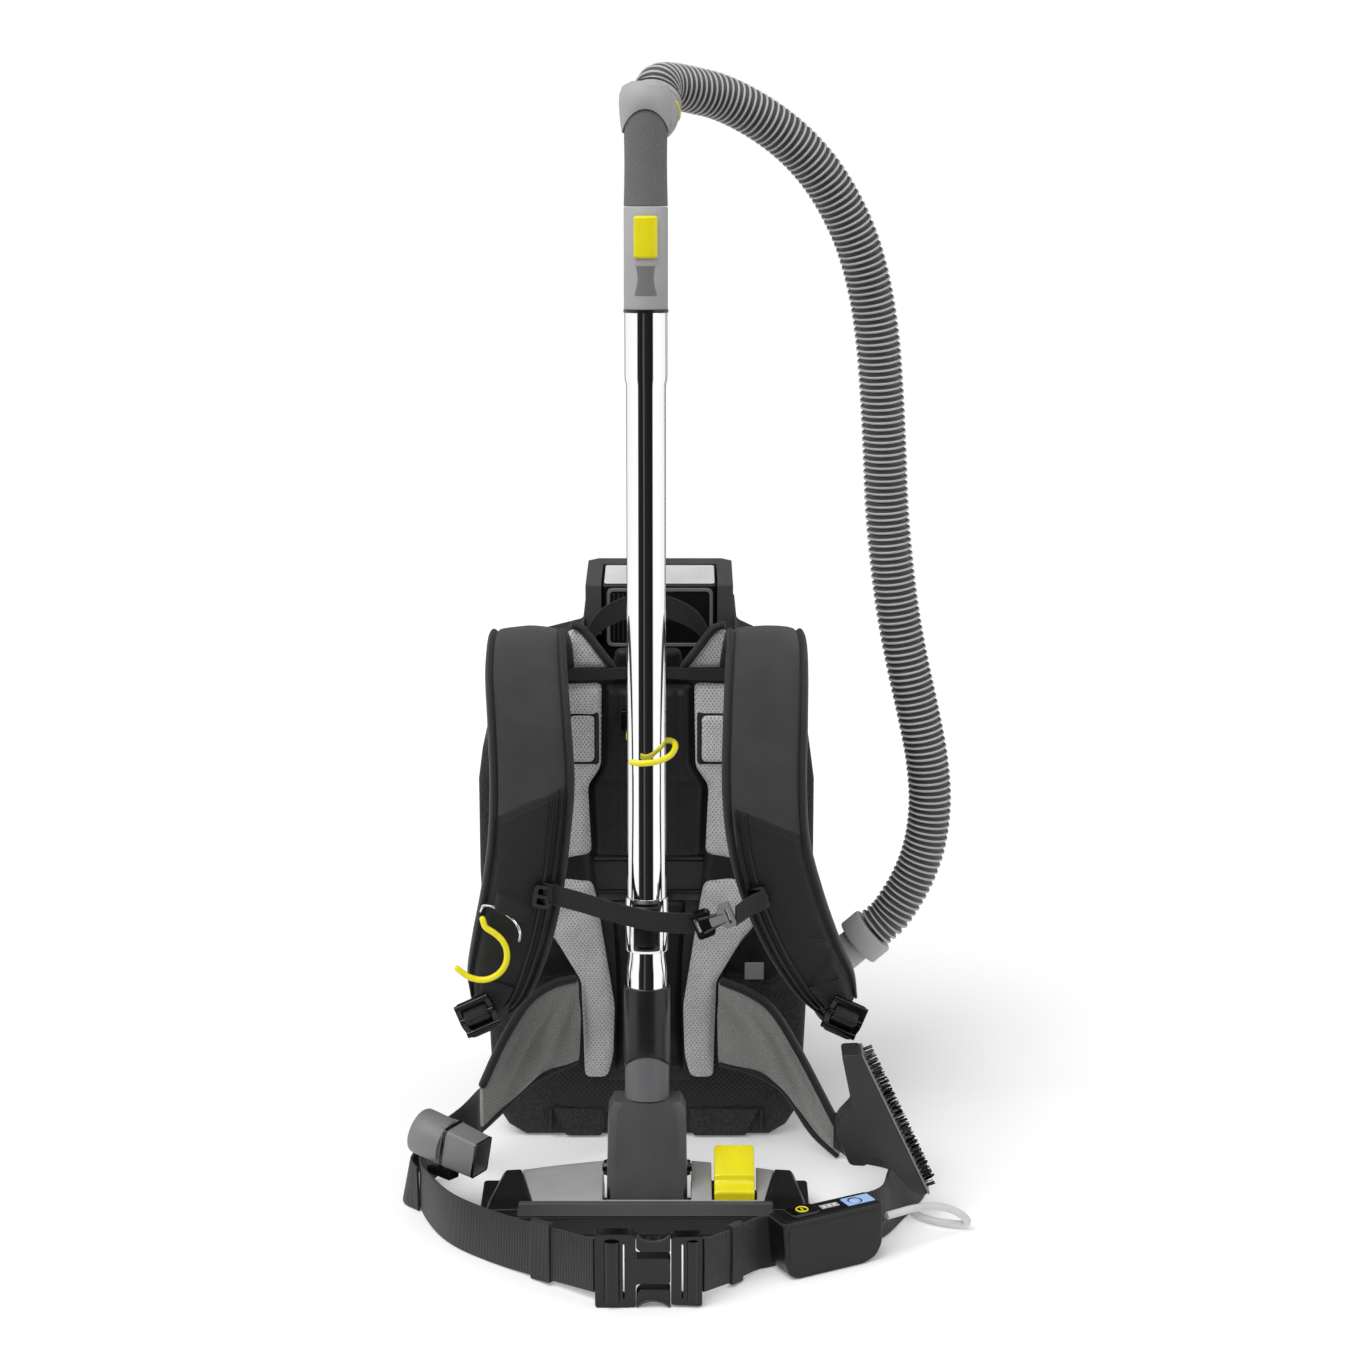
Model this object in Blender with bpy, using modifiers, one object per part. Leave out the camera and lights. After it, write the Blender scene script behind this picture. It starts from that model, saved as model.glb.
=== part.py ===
"""Backpack vacuum cleaner with a telescopic wand parked in its hook, as separate pieces.

Metres, +Z up. The side that lies against the wearer's back faces -Y, and X runs to
the right as that side is looked at. The origin is the centre of the casing's bottom face.
"""

import math

import bmesh
import bpy
from mathutils import Matrix, Vector

OBJECT_NAME = "backpack_vacuum"
GAP = 0.0004

# Casing
CASING_HALF_WIDTH = 0.158
CASING_HEIGHT = 0.505
CASING_FRONT = -0.095
CASING_REAR = 0.095
WALL = 0.013
LID_REAR = 0.140
LID_HINGE = (0.0, 0.130, 0.040)
LID_LOW = 0.050
SHOULDERS = [(0.118, 0.4520), (0.140, 0.4250), (0.154, 0.3900), (0.158, 0.3600)]
DOCK = (-0.0600, 0.0840)
DOCK_FOOT = 0.466
PIN_RADIUS = 0.0025

# Battery, standing in a well in the roof
BATTERY_X = 0.012
BATTERY_SIZE = (0.109, 0.085, 0.140)
BATTERY_FRONT = -0.0185
BATTERY_TOP = 0.5315
HOOD_HALF_WIDTH = 0.070
HOOD_TOP = 0.532

# Back harness, front of the casing towards the wearer
PLATE_Y = (-0.0993, -0.0954)
PAD_Y = (-0.1185, -0.0997)
HARNESS_X = 0.002

# Wand: every piece is measured along its axis from the foot point
WAND_FOOT = Vector((0.002, -0.285, 0.035))
WAND_TILT = math.radians(7.0)
WAND_AXIS = Vector((0.0, math.sin(WAND_TILT), math.cos(WAND_TILT)))
TUBE_RADIUS = 0.0174
TUBE_WALL = 0.0009
INNER_TUBE_RADIUS = 0.0162

# Elbow at the top of the handle and the hose
ELBOW_START = Vector((0.0045, -0.1692, 0.9779))
ELBOW_AXIS = Vector((0.14, 0.80, 0.50)).normalized()
ELBOW_RADIUS = 0.0255
ELBOW_CONE = 0.0077
ELBOW_LENGTH = 0.0325
HOSE_RADIUS = 0.0208
HOSE_ROUTE = [
    (0.0101, -0.1370, 0.9980), (0.0121, -0.1257, 1.0050), (0.0178, -0.1148, 1.0068),
    (0.0305, -0.1025, 1.0045), (0.0450, -0.0905, 1.0005), (0.0645, -0.0765, 0.9945),
    (0.0875, -0.0640, 0.9835), (0.1120, -0.0530, 0.9680), (0.1370, -0.0430, 0.9475),
    (0.1605, -0.0340, 0.9210), (0.1805, -0.0260, 0.8890), (0.1965, -0.0190, 0.8530),
    (0.2085, -0.0130, 0.8100), (0.2165, -0.0085, 0.7620), (0.2215, -0.0045, 0.7080),
    (0.2250, -0.0015, 0.6550), (0.2280, 0.0000, 0.6020), (0.2335, 0.0000, 0.5480),
    (0.2410, 0.0000, 0.4960), (0.2510, 0.0000, 0.4460), (0.2620, 0.0000, 0.3980),
    (0.2710, 0.0000, 0.3520), (0.2745, 0.0000, 0.3080), (0.2700, 0.0000, 0.2660),
    (0.2580, 0.0000, 0.2300), (0.2405, 0.0000, 0.1985), (0.2328, 0.0000, 0.1893),
    (0.2230, 0.0000, 0.1805),
]
PORT_AXIS = Vector((0.75, 0.0, 0.66)).normalized()
PORT_POINT = Vector((0.158, 0.0, 0.1225))
COLLAR_OFFSET = 0.0640
COLLAR_LENGTH = 0.021
COLLAR_RADIUS = 0.0248

# Floor nozzle
HEAD_X = (-0.150, 0.150)
HEAD_Y = (-0.331, -0.246)
TILT_POINT = (0.002, -0.288, 0.030)
BARREL_RADIUS = 0.026
YOKE_HALF_WIDTH = 0.0365
WHEEL_POINT = (0.0, -0.262, 0.0088)
WHEEL_RADIUS = 0.0085

# Waist belt
BELT_HEIGHT = 0.050
WEBBING = 0.0026
BUCKLE_Y = (-0.4695, -0.4555)
BOX_CORNER = Vector((0.122, -0.422, 0.0))
BOX_YAW = math.radians(28.3)
BOX_SIZE = (0.102, 0.030, 0.055)
MODE_ALONG = 0.081
CABLE_RADIUS = 0.0035
CABLE_ROUTE = [
    (0.2157, -0.3548, 0.0340), (0.2260, -0.3488, 0.0343), (0.2400, -0.3395, 0.0340),
    (0.2540, -0.3300, 0.0320), (0.2670, -0.3225, 0.0280), (0.2790, -0.3170, 0.0220),
    (0.2880, -0.3140, 0.0150), (0.2915, -0.3120, 0.0090), (0.2880, -0.3095, 0.0055),
    (0.2800, -0.3065, 0.0045), (0.2700, -0.3030, 0.0042), (0.2610, -0.2985, 0.0042),
    (0.2530, -0.2925, 0.0042), (0.2470, -0.2860, 0.0045), (0.2440, -0.2800, 0.0050),
]

LIGHT_GREY = (0.60, 0.60, 0.60)
MID_GREY = (0.36, 0.36, 0.36)
DARK_GREY = (0.10, 0.10, 0.10)
BLACK = (0.025, 0.025, 0.025)
YELLOW = (0.86, 0.82, 0.03)


# --- Building helpers -------------------------------------------------------------

def clear_scene():
    for obj in list(bpy.data.objects):
        bpy.data.objects.remove(obj, do_unlink=True)


def new_collection(name):
    made = bpy.data.collections.new(name)
    bpy.context.scene.collection.children.link(made)
    return made


def finish(obj, colour, roughness=0.5, metallic=0.0):
    """Links the piece to the object's collection with a material of its own."""
    made = bpy.data.materials.new(obj.name)
    made.use_nodes = True
    shader = made.node_tree.nodes["Principled BSDF"]
    shader.inputs["Base Color"].default_value = (*colour, 1.0)
    shader.inputs["Roughness"].default_value = roughness
    shader.inputs["Metallic"].default_value = metallic
    obj.data.materials.clear()
    obj.data.materials.append(made)
    if obj.type == "MESH":
        obj.data.shade_smooth()
        obj.data.set_sharp_from_angle(angle=math.radians(35))
    PARTS.objects.link(obj)
    return obj


def mesh_object(name, bm):
    mesh = bpy.data.meshes.new(name)
    bm.to_mesh(mesh)
    bm.free()
    return bpy.data.objects.new(name, mesh)


def block(name, low, high):
    bm = bmesh.new()
    bmesh.ops.create_cube(bm, size=1.0)
    size = Vector(high) - Vector(low)
    centre = (Vector(high) + Vector(low)) / 2
    bmesh.ops.scale(bm, vec=size, verts=bm.verts)
    bmesh.ops.translate(bm, vec=centre, verts=bm.verts)
    return mesh_object(name, bm)


def cylinder(name, start, end, radius, sides=20, end_radius=None):
    """A capped cylinder or cone from one point to another."""
    start, end = Vector(start), Vector(end)
    bm = bmesh.new()
    bmesh.ops.create_cone(
        bm, cap_ends=True, segments=sides, radius1=radius,
        radius2=radius if end_radius is None else end_radius, depth=(end - start).length,
    )
    obj = mesh_object(name, bm)
    turn = (end - start).to_track_quat("Z", "Y").to_matrix().to_4x4()
    obj.matrix_world = Matrix.Translation((start + end) / 2) @ turn
    return obj


def turned(name, profile, closed=False, steps=24, matrix=None):
    """A profile of (radius, height) points turned round Z with a Screw modifier."""
    bm = bmesh.new()
    points = [bm.verts.new((radius, 0.0, height)) for radius, height in profile]
    for first, second in zip(points, points[1:]):
        bm.edges.new((first, second))
    if closed:
        bm.edges.new((points[-1], points[0]))
    obj = mesh_object(name, bm)
    screw = obj.modifiers.new("turn", "SCREW")
    screw.steps = steps
    screw.render_steps = steps
    screw.use_merge_vertices = True
    screw.merge_threshold = 0.00005
    if matrix:
        obj.matrix_world = matrix
    return obj


def evaluated_mesh(obj, name):
    """The curve's shape as a mesh object with its caps welded."""
    bpy.context.scene.collection.objects.link(obj)
    bpy.context.view_layer.update()
    graph = bpy.context.evaluated_depsgraph_get()
    mesh = bpy.data.meshes.new_from_object(obj.evaluated_get(graph))
    bm = bmesh.new()
    bm.from_mesh(mesh)
    bmesh.ops.remove_doubles(bm, verts=bm.verts, dist=0.00002)
    bm.to_mesh(mesh)
    bm.free()
    made = bpy.data.objects.new(name, mesh)
    made.matrix_world = obj.matrix_world
    bpy.data.objects.remove(obj, do_unlink=True)
    made.name = name
    return made


def plate(name, outlines, low, high, across="Y"):
    """A flat outline, with its holes, filled and extruded along an axis.

    Across Y the outline is (x, z), across X it is (y, z), and across Z it is (x, y).
    """
    data = bpy.data.curves.new(name, "CURVE")
    data.dimensions = "2D"
    data.fill_mode = "BOTH"
    data.extrude = (high - low) / 2
    for outline in outlines:
        spline = data.splines.new("POLY")
        spline.points.add(len(outline) - 1)
        for point, (u, v) in zip(spline.points, outline):
            point.co = (u, v, 0.0, 1.0)
        spline.use_cyclic_u = True
    guide = bpy.data.objects.new(name, data)
    middle = (high + low) / 2
    if across == "Y":
        guide.matrix_world = Matrix.Translation((0, middle, 0)) @ Matrix.Rotation(math.pi / 2, 4, "X")
    elif across == "X":
        upright = Matrix(((0, 0, 1, middle), (1, 0, 0, 0), (0, 1, 0, 0), (0, 0, 0, 1)))
        guide.matrix_world = upright
    else:
        guide.matrix_world = Matrix.Translation((0, 0, middle))
    return evaluated_mesh(guide, name)


def smooth_route(points, spacing):
    """Points at an even spacing along a Catmull-Rom curve through the route's points."""
    route = [Vector(p) for p in points]
    route = [2 * route[0] - route[1]] + route + [2 * route[-1] - route[-2]]
    fine = []
    for p0, p1, p2, p3 in zip(route, route[1:], route[2:], route[3:]):
        for step in range(16):
            t = step / 16
            fine.append(0.5 * (2 * p1 + (p2 - p0) * t + (2 * p0 - 5 * p1 + 4 * p2 - p3) * t * t
                               + (3 * p1 - p0 - 3 * p2 + p3) * t ** 3))
    fine.append(route[-2])
    length = sum((b - a).length for a, b in zip(fine, fine[1:]))
    count = max(2, round(length / spacing))
    step, walked, even = length / count, 0.0, [fine[0]]
    for a, b in zip(fine, fine[1:]):
        run = (b - a).length
        while len(even) < count and walked + run >= step * len(even) - 1e-9:
            even.append(a.lerp(b, (step * len(even) - walked) / run))
        walked += run
    return even + [fine[-1]]


def rod(name, points, radius, spacing, resolution=2):
    """A round bar or hose along a smooth route, as a bevelled poly curve."""
    even = smooth_route(points, spacing)
    data = bpy.data.curves.new(name, "CURVE")
    data.dimensions = "3D"
    data.bevel_depth = radius
    data.bevel_resolution = resolution
    data.use_fill_caps = True
    spline = data.splines.new("POLY")
    spline.points.add(len(even) - 1)
    for point, place in zip(spline.points, even):
        point.co = (*place, 1.0)
    return bpy.data.objects.new(name, data)


def ribbon(name, stations, thickness):
    """A flat band between two edges, given as pairs of points, made solid."""
    bm = bmesh.new()
    rows = [[bm.verts.new(a), bm.verts.new(b)] for a, b in stations]
    for first, second in zip(rows, rows[1:]):
        bm.faces.new((first[0], second[0], second[1], first[1]))
    obj = mesh_object(name, bm)
    solid = obj.modifiers.new("thickness", "SOLIDIFY")
    solid.thickness = thickness
    solid.offset = 0.0
    solid.use_even_offset = True
    return obj


def boolean(target, other, operation):
    """Cuts or joins a helper shape, which stays in the cutters collection."""
    if other.name not in CUTTERS.objects:
        CUTTERS.objects.link(other)
    other.hide_render = True
    other.display_type = "WIRE"
    step = target.modifiers.new(operation.lower(), "BOOLEAN")
    step.operation = operation
    step.solver = "EXACT"
    step.object = other
    return target


def cut(target, *cutters):
    for cutter in cutters:
        boolean(target, cutter, "DIFFERENCE")
    return target


def join(target, *pieces):
    for piece in pieces:
        boolean(target, piece, "UNION")
    return target


def bevel(obj, width, segments=2):
    edge = obj.modifiers.new("bevel", "BEVEL")
    edge.width = width
    edge.segments = segments
    edge.limit_method = "ANGLE"
    edge.angle_limit = math.radians(40)
    return obj


def mirrored(outline, centre=0.0):
    """Closes a half outline, given from top to bottom at +X, with its mirror image."""
    return outline + [(2 * centre - x, z) for x, z in reversed(outline)]


def on_wand(along):
    """The wand's own frame: Z along its axis, the origin a length along from its foot."""
    return Matrix.Translation(WAND_FOOT + WAND_AXIS * along) @ Matrix.Rotation(-WAND_TILT, 4, "X")


# --- Casing and what it holds -----------------------------------------------------

def casing_outline(inset, low=0.0, high=CASING_HEIGHT):
    """The casing seen from the back: round below, sloping shoulders, a raised battery dock."""
    half = CASING_HALF_WIDTH - inset
    low, high, drop = low + inset, high - inset, 0.7 * inset
    side = [(x - inset, z - drop) for x, z in SHOULDERS]
    side += [
        (half, 0.27), (half - 0.006, 0.12), (half - 0.009, low + 0.050), (half - 0.013, low + 0.028),
        (half - 0.024, low + 0.010), (half - 0.040, low),
    ]
    left, right = DOCK
    points = [(right - inset, high), (right + 0.004 - inset, DOCK_FOOT - drop)]
    points += mirrored(side)
    return points + [(left - 0.004 + inset, DOCK_FOOT - drop), (left + inset, high)]


def casing_shell():
    shell = plate("casing_shell", [casing_outline(0.0)], CASING_FRONT, CASING_REAR)
    bevel(shell, 0.010)
    half = BATTERY_SIZE[0] / 2 + 0.003
    well = block("battery_well_cut", (BATTERY_X - half, CASING_FRONT - 0.01, 0.462),
                 (BATTERY_X + half, 0.0690, 0.60))
    ledge = block("dock_ledge_cut", (-0.0586, CASING_FRONT - 0.01, 0.4840), (0.0826, -0.0225, 0.60))
    inside = CASING_REAR - WALL
    cavity = plate("casing_cavity_cut", [casing_outline(WALL)], CASING_FRONT + WALL, inside)
    above = casing_outline(WALL + 0.002, low=LID_LOW - 0.004)
    opening = plate("casing_opening_cut", [above], inside - 0.005, CASING_REAR + 0.02)
    port = cylinder("casing_port_cut", PORT_POINT - PORT_AXIS * 0.05, PORT_POINT + PORT_AXIS * 0.05,
                    0.0188)
    cut(shell, cavity, opening, well, ledge, port)
    for side in (-1, 1):
        ear = block(f"hinge_ear_{side}", (side * 0.075 - 0.005, 0.086, 0.034),
                    (side * 0.075 + 0.005, 0.136, 0.046))
        join(shell, ear)
    bore = cylinder("hinge_ear_bore_cut", (-0.1, *LID_HINGE[1:]), (0.1, *LID_HINGE[1:]), 0.0029, 16)
    cut(shell, bore)
    finish(shell, DARK_GREY, 0.9)


def lid_hinge_pin():
    pin = cylinder("lid_hinge_pin", (-0.081, *LID_HINGE[1:]), (0.081, *LID_HINGE[1:]), PIN_RADIUS, 12)
    finish(pin, (0.6, 0.6, 0.6), 0.3, 1.0)


def filter_lid():
    lid = plate("filter_lid", [casing_outline(0.004, low=LID_LOW - 0.004)], CASING_REAR + GAP, LID_REAR)
    bevel(lid, 0.008)
    inner = plate("lid_cavity_cut", [casing_outline(WALL, low=LID_LOW)], 0.08, LID_REAR - 0.009)
    cut(lid, inner)
    for side in (-1, 1):
        tongue = block(f"lid_knuckle_{side}", (side * 0.06 - 0.006, 0.1245, 0.0345),
                       (side * 0.06 + 0.006, 0.1355, 0.0560))
        join(lid, tongue)
    bore = cylinder("lid_knuckle_bore_cut", (-0.1, *LID_HINGE[1:]), (0.1, *LID_HINGE[1:]), 0.0031, 16)
    cut(lid, bore)
    finish(lid, DARK_GREY, 0.6)


def lid_latch():
    latch = block("lid_latch", (-0.022, LID_REAR + GAP, 0.440), (0.022, LID_REAR + 0.0075, 0.468))
    finish(bevel(latch, 0.002), YELLOW, 0.4)


def battery_hood():
    low_x, high_x = BATTERY_X - HOOD_HALF_WIDTH, BATTERY_X + HOOD_HALF_WIDTH
    inner = BATTERY_SIZE[0] / 2 + 0.0008
    outline = [
        (low_x, -0.022), (BATTERY_X - inner, -0.022), (BATTERY_X - inner, 0.0675),
        (BATTERY_X + inner, 0.0675), (BATTERY_X + inner, -0.022), (high_x, -0.022),
        (high_x, 0.082), (high_x - 0.010, 0.092), (low_x + 0.010, 0.092), (low_x, 0.082),
    ]
    hood = plate("battery_hood", [outline], CASING_HEIGHT + GAP, HOOD_TOP, across="Z")
    for side, low, high in (("left", low_x, -0.0430), ("right", 0.0670, high_x)):
        column = block(f"hood_column_{side}", (low, -0.0260, 0.4845), (high, -0.0229, HOOD_TOP - 0.0002))
        bridge = block(f"hood_bridge_{side}", (low + 0.0002, -0.0240, CASING_HEIGHT + 0.0008),
                       (high - 0.0002 if side == "left" else high - 0.0006, -0.0200, HOOD_TOP - 0.0004))
        join(hood, join(bridge, column))
    pocket = block("latch_pocket_cut", (BATTERY_X - 0.020, 0.0835, 0.511),
                   (BATTERY_X + 0.020, 0.10, 0.527))
    finish(cut(hood, pocket), DARK_GREY, 0.6)


def battery_pack():
    half = BATTERY_SIZE[0] / 2
    pack = block("battery_pack", (BATTERY_X - half, BATTERY_FRONT, BATTERY_TOP - BATTERY_SIZE[2]),
                 (BATTERY_X + half, BATTERY_FRONT + BATTERY_SIZE[1], BATTERY_TOP))
    finish(bevel(pack, 0.003), BLACK, 0.4)


def battery_latch():
    latch = block("battery_latch", (BATTERY_X - 0.018, 0.0875, 0.513),
                  (BATTERY_X + 0.018, 0.0945, 0.525))
    finish(latch, YELLOW, 0.4)


def motor_housing():
    profile = [
        (0.0, 0.104), (0.004, 0.104), (0.004, 0.092), (0.050, 0.092), (0.050, 0.110),
        (0.058, 0.110), (0.058, 0.018), (0.050, 0.0135), (0.0, 0.0135),
    ]
    finish(turned("motor_housing", profile), MID_GREY, 0.6)


def fan_impeller():
    """Nine curved lobes round a bore, turning on the motor's shaft."""
    lobes = []
    for step in range(72):
        angle = 2 * math.pi * step / 72
        radius = 0.038 + 0.006 * math.cos(9 * angle)
        lobes.append((radius * math.cos(angle), radius * math.sin(angle)))
    bore = [(0.0046 * math.cos(a * math.pi / 8), 0.0046 * math.sin(a * math.pi / 8)) for a in range(16)]
    finish(plate("fan_impeller", [lobes, bore], 0.095, 0.1065, across="Z"), LIGHT_GREY, 0.4)


def filter_bag():
    bag = block("filter_bag", (-0.125, -0.060, 0.130), (0.080, 0.088, 0.375))
    finish(bevel(bag, 0.020), (0.75, 0.75, 0.73), 0.9)


def exhaust_filter():
    cassette = block("exhaust_filter", (-0.114, -0.070, 0.0215), (-0.060, 0.070, 0.112))
    finish(bevel(cassette, 0.003, 1), (0.8, 0.8, 0.8), 0.9)


def hose_port():
    """The stub on the casing's side that the hose collar turns on."""
    matrix = Matrix.Translation(PORT_POINT) @ PORT_AXIS.to_track_quat("Z", "Y").to_matrix().to_4x4()
    profile = [(0.0172, 0.075), (0.0172, 0.0), (0.0182, 0.0), (0.0182, -0.012), (0.0148, -0.012),
               (0.0148, 0.075)]
    finish(turned("hose_port", profile, closed=True, matrix=matrix), MID_GREY, 0.5)


def hose_collar():
    """The swivel collar round the end of the stub, where the hose starts."""
    matrix = Matrix.Translation(PORT_POINT + PORT_AXIS * COLLAR_OFFSET)
    matrix = matrix @ PORT_AXIS.to_track_quat("Z", "Y").to_matrix().to_4x4()
    profile = [
        (0.0230, COLLAR_LENGTH), (COLLAR_RADIUS, COLLAR_LENGTH - 0.002), (COLLAR_RADIUS, 0.0),
        (0.0176, 0.0), (0.0176, 0.0114), (0.0150, 0.0114), (0.0150, COLLAR_LENGTH),
    ]
    finish(turned("hose_collar", profile, closed=True, matrix=matrix), LIGHT_GREY, 0.5)


# --- Harness ----------------------------------------------------------------------

def frame_plate():
    outline = mirrored([(0.060, 0.440), (0.075, 0.300), (0.072, 0.160), (0.040, 0.060)], HARNESS_X)
    finish(plate("frame_plate", [outline], *PLATE_Y), DARK_GREY, 0.5)


def centre_pad():
    outline = mirrored([(0.0420, 0.455), (0.0430, 0.379), (0.0550, 0.361), (0.0520, 0.288)], HARNESS_X)
    finish(plate("centre_pad", [outline], PAD_Y[0] + 0.004, PAD_Y[1]), BLACK, 0.9)


def back_pads():
    right = [
        (0.0440, 0.470), (0.0455, 0.377), (0.0575, 0.359), (0.0545, 0.290), (0.0500, 0.250),
        (0.0410, 0.190), (0.0330, 0.141), (0.0350, 0.090), (0.0410, 0.067), (0.0640, 0.067),
        (0.0670, 0.168), (0.0860, 0.196), (0.1040, 0.216), (0.1060, 0.290), (0.1040, 0.440),
        (0.0960, 0.462),
    ]
    left = [(2 * HARNESS_X - x, z) for x, z in reversed(right)]
    for name, outline in (("back_pad_left", left), ("back_pad_right", right)):
        finish(plate(name, [outline], *PAD_Y), LIGHT_GREY, 0.95)


def shoulder_straps():
    """Padded bands that rise from the harness top, bulge forwards and end above the hips.

    Each station is the outer and the inner edge's X, and the middle's Y and Z with a slope.
    """
    stations = {
        "shoulder_strap_left": [
            (-0.134, -0.066, -0.112, 0.476, 0.0), (-0.139, -0.068, -0.119, 0.499, 0.0),
            (-0.142, -0.071, -0.141, 0.513, 0.0), (-0.143, -0.071, -0.175, 0.514, 0.004),
            (-0.143, -0.069, -0.209, 0.494, 0.002), (-0.140, -0.065, -0.236, 0.455, 0.0),
            (-0.138, -0.062, -0.251, 0.405, 0.0), (-0.140, -0.066, -0.256, 0.355, 0.0),
            (-0.147, -0.073, -0.254, 0.305, -0.002), (-0.156, -0.085, -0.246, 0.255, -0.006),
            (-0.162, -0.102, -0.232, 0.212, -0.010), (-0.160, -0.122, -0.221, 0.186, -0.010),
        ],
        "shoulder_strap_right": [
            (0.136, 0.068, -0.112, 0.476, 0.0), (0.142, 0.071, -0.119, 0.499, 0.0),
            (0.145, 0.073, -0.141, 0.513, 0.0), (0.147, 0.074, -0.175, 0.514, 0.004),
            (0.147, 0.072, -0.209, 0.494, 0.002), (0.146, 0.070, -0.236, 0.455, 0.0),
            (0.145, 0.069, -0.251, 0.405, 0.0), (0.148, 0.073, -0.256, 0.355, 0.0),
            (0.160, 0.085, -0.254, 0.305, -0.002), (0.175, 0.107, -0.246, 0.255, -0.006),
            (0.190, 0.134, -0.232, 0.212, -0.010), (0.194, 0.160, -0.221, 0.184, -0.010),
        ],
    }
    for name, rows in stations.items():
        edges = [((outer, y, z - slope), (inner, y, z + slope)) for outer, inner, y, z, slope in rows]
        if "right" in name:
            edges = [(b, a) for a, b in edges]
        finish(ribbon(name, edges, 0.014), DARK_GREY, 0.9)


def strap_adjusters():
    for name, centre, tilt in (
        ("strap_adjuster_left", (-0.152, -0.2405, 0.180), -25.0),
        ("strap_adjuster_right", (0.181, -0.2405, 0.178), 25.0),
    ):
        frame = block(name, (-0.017, -0.0045, -0.016), (0.017, 0.0045, 0.016))
        slot = block(name + "_slot_cut", (-0.012, -0.02, 0.001), (0.012, 0.02, 0.007))
        place = Matrix.Translation(centre) @ Matrix.Rotation(math.radians(tilt), 4, "Y")
        frame.matrix_world = place
        slot.matrix_world = place
        finish(cut(frame, slot), BLACK, 0.3)


def carry_handle():
    """A loop of webbing that stands over the harness top."""
    arch = [(-0.055, 0.497), (-0.043, 0.516), (-0.022, 0.527), (0.002, 0.530), (0.026, 0.527),
            (0.047, 0.516), (0.059, 0.497)]
    stations = [((x, -0.104, z - 0.010), (x, -0.104, z + 0.010)) for x, z in arch]
    finish(ribbon("carry_handle", stations, 0.003), BLACK, 0.9)


def chest_strap():
    """Two webbings with a side-release buckle, in front of the wand."""
    left = [(-0.090, -0.2668, 0.307), (-0.060, -0.2725, 0.301), (-0.030, -0.2800, 0.294),
            (0.002, -0.2862, 0.288), (0.044, -0.2868, 0.285)]
    right = [(0.0815, -0.2868, 0.292), (0.098, -0.2760, 0.299), (0.117, -0.2670, 0.302)]
    for name, middle in (("chest_webbing_left", left), ("chest_webbing_right", right)):
        stations = [((x, y, z - 0.0095), (x, y, z + 0.0095)) for x, y, z in middle]
        finish(ribbon(name, stations, 0.0022), BLACK, 0.8)
    socket = block("chest_buckle_socket", (0.0446, -0.2925, 0.2720), (0.0606, -0.2810, 0.2980))
    plug = block("chest_buckle_plug", (0.0611, -0.2925, 0.2770), (0.0800, -0.2810, 0.3050))
    finish(bevel(socket, 0.0015, 1), BLACK, 0.3)
    finish(bevel(plug, 0.0015, 1), MID_GREY, 0.4)


def hip_fins():
    left = [
        ((-0.0715, -0.122, 0.085), (-0.0715, -0.122, 0.164)),
        ((-0.092, -0.133, 0.083), (-0.090, -0.133, 0.172)),
        ((-0.112, -0.150, 0.078), (-0.111, -0.150, 0.160)),
        ((-0.134, -0.176, 0.062), (-0.133, -0.176, 0.130)),
        ((-0.149, -0.200, 0.055), (-0.149, -0.200, 0.094)),
    ]
    right = [
        ((0.0755, -0.122, 0.085), (0.0755, -0.122, 0.164)),
        ((0.096, -0.128, 0.082), (0.098, -0.128, 0.160)),
        ((0.116, -0.132, 0.074), (0.119, -0.132, 0.145)),
        ((0.135, -0.136, 0.060), (0.142, -0.136, 0.108)),
        ((0.158, -0.141, 0.022), (0.168, -0.141, 0.058)),
    ]
    finish(ribbon("hip_fin_left", left, 0.009), MID_GREY, 0.95)
    finish(ribbon("hip_fin_right", [(b, a) for a, b in right], 0.009), MID_GREY, 0.95)


def upright(x, y, z, height=BELT_HEIGHT, lean=(0.0, 0.0)):
    """A belt station: its lower edge, and its upper edge a webbing's height above."""
    return (x, y, z), (x + lean[0], y + lean[1], z + height)


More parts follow.
